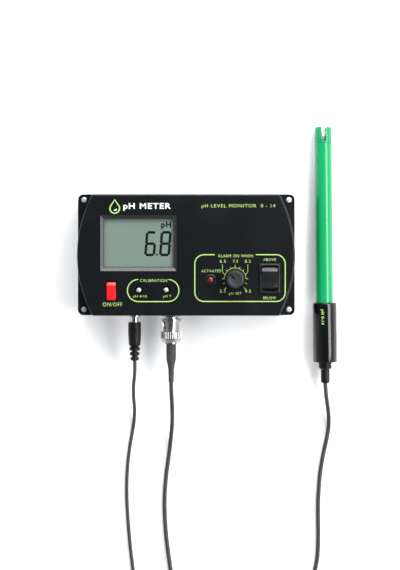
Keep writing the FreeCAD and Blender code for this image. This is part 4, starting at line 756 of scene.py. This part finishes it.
# Each calibration trimmer shows a zinc-plated steel screw with rounded shoulders and one slot for a
# blade, sunk in a hole in the panel.
for name in ("offset_screw", "slope_screw"):
    top = box_mm(name)[1][2]
    head = stack(name + "_head", [(1.95, top - 2.2), (2.02, top - 1.2), (1.92, top - 0.78),
                                  (1.6, top - 0.4), (1.1, top - 0.12), (0.5, top)], zinc, 40)
    carve(head, bar_tool((-0.28, -3, top - 0.6), (0.28, 3, top + 1)))
    slot_angle = math.radians(62 if name == "offset_screw" else 118)
    stand(head, (*box_middle(name), 0), Matrix.Rotation(slot_angle, 4, "Z"))
    soften(head, 0.05, 1, 50)
    stands_for(head, name, "screw_steel", name)

# The four case screws are round-topped Phillips screws of zinc-plated steel, sunk in the ears, and
# they hold the cover on to the tray.
cross_screws = []
screw_across = 71
screw_along = 38
for x in (-screw_across, screw_across):
    for y in (-screw_along, screw_along):
        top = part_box("case_screws")[1][2] / MM
        screw = stack("case_screw", [(2.12, top - 1.7), (2.16, top - 0.75), (1.95, top - 0.38),
                                     (1.5, top - 0.1), (0.8, top)], zinc, 40)
        for turned_by in (0, 90):
            cross = bar_tool((-0.24, -1.15, top - 0.9), (0.24, 1.15, top + 1))
            stand(cross, (0, 0, 0), Matrix.Rotation(math.radians(turned_by + 20 + x * 0.3 + y), 4, "Z"))
            carve(screw, cross)
        stand(screw, (x, y, 0))
        cross_screws.append(soften(screw, 0.04, 1, 50))
screws = merge("case_screws_crossed", cross_screws)
stands_for(screws, "case", "screw_steel", "case_screws")

# The alarm switch is a nylon rocker switch snapped into the panel: a rim with sloping sides and an
# opening that bows outwards above and below, and in it a hollow-topped rocker, upper end up.
def prism(name, outlines, low, high, finish=None):
    """A closed solid between two heights; a second outline inside the first is a hole."""
    curve = bpy.data.curves.new(name, "CURVE")
    curve.dimensions = "2D"
    curve.fill_mode = "BOTH"
    curve.extrude = (high - low) / 2 * MM
    for outline in outlines:
        line = curve.splines.new("POLY")
        line.points.add(len(outline) - 1)
        for point, place in zip(line.points, outline):
            point.co = (place[0] * MM, place[1] * MM, 0, 1)
        line.use_cyclic_u = True
    piece = bpy.data.objects.new(name, curve)
    bpy.context.collection.objects.link(piece)
    piece.location.z = (low + high) / 2 * MM
    piece = settle(as_mesh(piece))
    bpy.ops.object.mode_set(mode="EDIT")
    bpy.ops.mesh.select_all(action="SELECT")
    bpy.ops.mesh.remove_doubles(threshold=0.000002)
    bpy.ops.mesh.dissolve_limited(angle_limit=math.radians(1))
    bpy.ops.mesh.normals_make_consistent(inside=False)
    bpy.ops.object.mode_set(mode="OBJECT")
    piece.data.materials.clear()
    if finish:
        piece.data.materials.append(finish.material)
    return piece


def tower(name, layers, finish):
    """A rectangular piece whose layers are (width, depth, height) in millimetres, from the bottom."""
    start()
    bpy.ops.mesh.primitive_plane_add(size=1, location=(0, 0, 0))
    piece = bpy.context.object
    piece.name = name
    piece.scale = (layers[0][0] * MM, layers[0][1] * MM, 1)
    piece.location.z = layers[0][2] * MM
    bpy.ops.object.transform_apply(location=True, rotation=True, scale=True)
    bpy.ops.object.mode_set(mode="EDIT")
    bpy.ops.mesh.select_all(action="SELECT")
    for before, after in zip(layers, layers[1:]):
        rise = (after[2] - before[2]) * MM
        bpy.ops.mesh.extrude_region_move(TRANSFORM_OT_translate={"value": (0, 0, rise)})
        bpy.ops.transform.resize(value=(after[0] / before[0], after[1] / before[1], 1),
                                 center_override=(0, 0, after[2] * MM))
    bpy.ops.mesh.select_all(action="SELECT")
    bpy.ops.mesh.normals_make_consistent(inside=False)
    bpy.ops.object.mode_set(mode="OBJECT")
    piece.data.materials.append(finish.material)
    return piece


def bowed(wide, side, bow, steps=10):
    """An outline with straight sides and ends that bow out; side is half its height at the sides."""
    half = wide / 2
    xs = [half - 2 * half * step / steps for step in range(steps + 1)]
    top = [(x, side + bow * (1 - (x / half) ** 2)) for x in xs]
    return top + [(-x, -y) for x, y in top]


rim_middle = box_middle("alarm_switch_body")
can_foot = box_mm("alarm_switch_body")[0][2]
rim_top = box_mm("alarm_switch_body")[1][2]
rim_foot = panel_level / MM
rim = tower("alarm_switch_rim", [(12.6, 19.0, can_foot), (12.6, 19.0, rim_foot + 0.02),
                                 (14.9, 20.95, rim_foot + 0.03), (14.9, 20.95, rim_foot + 0.5),
                                 (13.3, 19.1, rim_top - 0.08), (12.9, 18.7, rim_top)], black_nylon)
carve(rim, prism("rim_opening", [bowed(11.5, 7.9, 0.9)], rim_foot - 7, rim_top + 1))
soften(stand(rim, (*rim_middle, 0)), 0.14, 2, 25)
stands_for(rim, "case", "switch_black", "alarm_switch_body")


rest_tilt = 8


def rocker_cap(name, node, half, wide, rise, dip, finish, plan, pivot, width, end_fall=1.25):
    """A rocker's visible half: its hollow top drawn from the side, its ends cut to a plan."""
    shoulder = half * 0.34
    profile = [(-half, -0.3), (half, -0.3), (half - 0.3, rise - end_fall), (half - shoulder, rise)]
    profile += [(half * 0.35, rise - dip * 0.7), (0, rise - dip), (-half * 0.35, rise - dip * 0.7)]
    profile += [(shoulder - half, rise), (0.3 - half, rise - end_fall)]
    cap = prism(name, [profile], -wide / 2, wide / 2, finish)
    upright = Matrix.Rotation(math.radians(90), 4, "Z") @ Matrix.Rotation(math.radians(90), 4, "X")
    stand(cap, (0, 0, 0), upright)
    if plan:
        outside = [(-20, -20), (20, -20), (20, 20), (-20, 20)]
        carve(cap, prism(name + "_trim", [outside, plan], -5, 9))
    soften(cap, width, 3, 25)
    stand(cap, pivot, Matrix.Rotation(math.radians(rest_tilt), 4, "X"))
    stands_for(cap, node, "switch_black" if node == "alarm_rocker" else "rocker_red", node)


rocker_cap("alarm_rocker_cap", "alarm_rocker", 8.15, 10.9, 3.7, 1.5, black_nylon,
           bowed(10.9, 7.45, 0.7), (*rim_middle, rim_foot - 0.7), 0.3, 1.9)
rocker_cap("power_rocker_cap", "power_rocker", 6.55, 6.15, 6.0, 1.0, red, None,
           (*box_middle("power_rocker"), rim_foot - 4.5), 0.3)

# The display's frame is a glossy dark moulding: a shallow slope round the window, a narrow steeper
# step, then a straight wall down to the glass.  Its flange lies behind the panel.
display_middle = box_middle("display_bezel")
frame_back = box_mm("display_bezel")[0][2]
bezel = tower("display_frame", [(55.8, 41.8, frame_back + 0.02), (55.8, 41.8, frame_back + 0.98),
                                (52.6, 38.6, frame_back + 0.99), (52.6, 38.6, panel_level / MM - 0.1)],
              bezel_grey)
opening = tower("frame_opening", [(47.9, 33.1, frame_back - 1), (47.9, 33.1, panel_level / MM - 1.5),
                                  (49.4, 34.6, panel_level / MM - 0.95),
                                  (52.2, 38.2, panel_level / MM - 0.12),
                                  (52.2, 38.2, panel_level / MM + 1)], bezel_grey)
carve(bezel, opening)
soften(stand(bezel, (*display_middle, 0)), 0.08, 1, 12, 8)
stands_for(bezel, "case", "bezel_plastic", "display_bezel")


# The jack and the bayonet connector stand out of the lower edge, side by side.  What is turned there
# has its axis along -Y, so a stack is laid over.
lay_over = Matrix.Rotation(math.radians(90), 4, "X")
lower_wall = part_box("front_cover")[0][1] / MM
jack_x = box_middle("power_jack")[0]
bnc_x = box_middle("bnc_boot")[0]
socket_level = (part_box("bnc_boot")[0][2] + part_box("bnc_boot")[1][2]) / 2 / MM


def rib(radius, core, low, high):
    """One moulded rib with rounded edges round a core."""
    return [(core, low), (radius - 0.35, low), (radius, low + 0.35), (radius, high - 0.35),
            (radius - 0.35, high), (core, high)]


# The jack's nose is a nickel-plated collar.  The plug in it has a plated barrel and a soft moulded
# grip with two finger recesses, which ends in three ribs that let the lead bend.
ease_edges("power_jack", 0.25, nickel, "case", 2, 40)
grip_low = lower_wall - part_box("power_plug_grip")[1][1] / MM
grip_high = lower_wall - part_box("power_plug_grip")[0][1] / MM
rib_start = grip_high - 10.4
grip = [(3.9, grip_low), (4.4, grip_low + 0.35), (4.55, grip_low + 2.5), (4.5, grip_low + 9),
        (4.25, rib_start - 3), (4.0, rib_start - 0.35), (3.7, rib_start)]
for index, radius in enumerate((3.75, 3.35, 2.95)):
    low = rib_start + 1.05 + 3.45 * index
    grip += rib(radius, 1.95, low, low + 2.35)
grip = stack("power_plug_moulded_grip", grip, soft_black, 56)
for side in (-1, 1):
    carve(grip, bar_tool((side * 1.35 - 0.75, 4.15, grip_low + 3.6),
                         (side * 1.35 + 0.75, 6, grip_low + 9.4)))
stand(grip, (jack_x, lower_wall, socket_level), lay_over)
soften(grip, 0.1, 2, 35, 35)
stands_for(grip, "power_supply_lead", "grip_black", "power_plug_grip")

# The electrode's boot is a soft grey moulded sleeve, pushed over the end of the bayonet plug.  It
# narrows in two steps on to the lead.
boot_low = lower_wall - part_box("bnc_boot")[1][1] / MM
boot_high = lower_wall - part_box("bnc_boot")[0][1] / MM
boot = stack("bnc_boot_sleeve", [(3.0, boot_low), (3.3, boot_low + 0.3), (3.38, boot_low + 1.0),
                                 (3.38, boot_low + 10.6), (3.25, boot_low + 12), (2.42, boot_low + 15.2),
                                 (2.38, boot_low + 17), (2.05, boot_low + 17.8), (1.9, boot_low + 24),
                                 (1.85, boot_high - 0.3), (1.6, boot_high)], soft_grey, 48)
soften(stand(boot, (bnc_x, lower_wall, socket_level), lay_over), 0.12, 2, 25)
stands_for(boot, "case", "grip_black", "bnc_boot")
ease_edges("bnc_ring", 0.07, nickel, "bayonet_ring", 2, 40)
ease_edges("bnc_nut", 0.12, nickel, "case", 1)

# The electrode is a green epoxy tube with a slotted guard round its glass bulb and a glossy black
# cap moulded on the other end.  It lies a little tilted, on its cap's edge and its tip.
probe_foot = Vector((97.4, -34.4, 8.489))
probe_lie = Matrix.Rotation(math.radians(0.4), 4, "Z") @ Matrix.Rotation(math.radians(-1.138), 4, "X")
probe_back = probe_lie @ lay_over
gloss_black = moulded("gloss_black", (0.0020, 0.0022, 0.0026), 0.10, strength=0.03, shine=0.5)
cap = stack("electrode_moulded_cap", [(6.05, 0.02), (7.3, 0.03), (7.95, 0.22), (8.32, 0.7), (8.47, 1.5),
                                      (8.47, 41.3), (8.3, 41.8), (7.8, 41.98), (4.7, 41.99)], gloss_black, 96)
soften(stand(cap, probe_foot, probe_back), 0.1, 2, 25, 35)
stands_for(cap, "case", "cap_black", "electrode_cap")
relief_rings = [(4.6, 42.0), (4.62, 43.6), (4.35, 43.9), (4.35, 44.3), (4.62, 44.6), (4.5, 46.2),
                (4.05, 46.7), (3.1, 47.3), (3.0, 47.8), (3.08, 48.2), (3.08, 55.6), (2.9, 56.5),
                (2.4, 56.95)]
relief = stack("electrode_relief_sleeve", relief_rings, soft_black, 56)
soften(stand(relief, probe_foot, probe_back), 0.12, 2, 25)
stands_for(relief, "case", "grip_black", "electrode_relief")

# The cap's marking is printed along it in the panel's yellow-green ink, wrapped a little way
# round it.
marking = letters("pH 0-14", (0, 0), 10.6, 2.5, 0, 0.03)
for vertex in marking.data.vertices:
    along, across = vertex.co.x / MM, vertex.co.y / MM - 2.3
    rise = math.sqrt(8.5 ** 2 - across ** 2) + vertex.co.z / MM * 0.6
    vertex.co = (probe_lie @ Vector((across, -9.9 - along, rise)) + probe_foot) * MM
marking.name = "cap_marking"
marking.data.materials.clear()
marking.data.materials.append(green_ink.material)
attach(marking, "case")
ease_edges("electrode_guard", 0.18, tube_green, "case", 2, 40)
bulb_glass = Finish("bulb_glass", Roughness=0.04, Coat_Weight=0.5)
bulb_clouds = bulb_glass.noise(300, 2)
bulb_glass.set(Base_Color=bulb_glass.mix(bulb_clouds, (0.30, 0.42, 0.36), (0.42, 0.52, 0.46)))
dress(bulb_glass, "glass_bulb")

# The adapter is two moulded shells that meet in a fine groove, with flat contact blades with a hole
# near their ends, and a ribbed strain relief where the lead leaves.
shell_black = moulded("adapter_shell_black", (0.012, 0.012, 0.013), 0.5, grain=1500, strength=0.5,
                      shine=0.35)
for name in ("adapter_lower_shell", "adapter_upper_shell"):
    ease_edges(name, 0.35, shell_black, "power_supply_lead", 2, 40)
blades = ease_edges("adapter_blades", 0.35, nickel, "power_supply_lead", 2)
low, high = box_mm("adapter_blades")
start()
bpy.ops.mesh.primitive_cylinder_add(vertices=24, radius=1.6 * MM, depth=60 * MM,
                                    location=((low[0] + 3.4) * MM, (low[1] + high[1]) / 2 * MM,
                                              (low[2] + high[2]) / 2 * MM), rotation=(math.pi / 2, 0, 0))
carve(blades, settle(bpy.context.object))
low, high = box_mm("adapter_strain_relief")
relief_middle = (0, (low[1] + high[1]) / 2, (low[2] + high[2]) / 2)
rings = [(3.5, low[0] + 0.02), (3.5, low[0] + 0.7)]
for index, radius in enumerate((3.3, 3.0, 2.75, 2.5)):
    begin = low[0] + 1.4 + 3.1 * index
    rings += rib(radius, 1.72, begin, begin + 2.1)
rings += [(1.72, high[0] - 0.05)]
adapter_relief = stack("adapter_ribbed_relief", rings, soft_black, 48)
stand(adapter_relief, relief_middle, Matrix.Rotation(math.radians(90), 4, "Y"))
soften(adapter_relief, 0.08, 1, 40)
stands_for(adapter_relief, "power_supply_lead", "grip_black", "adapter_strain_relief")
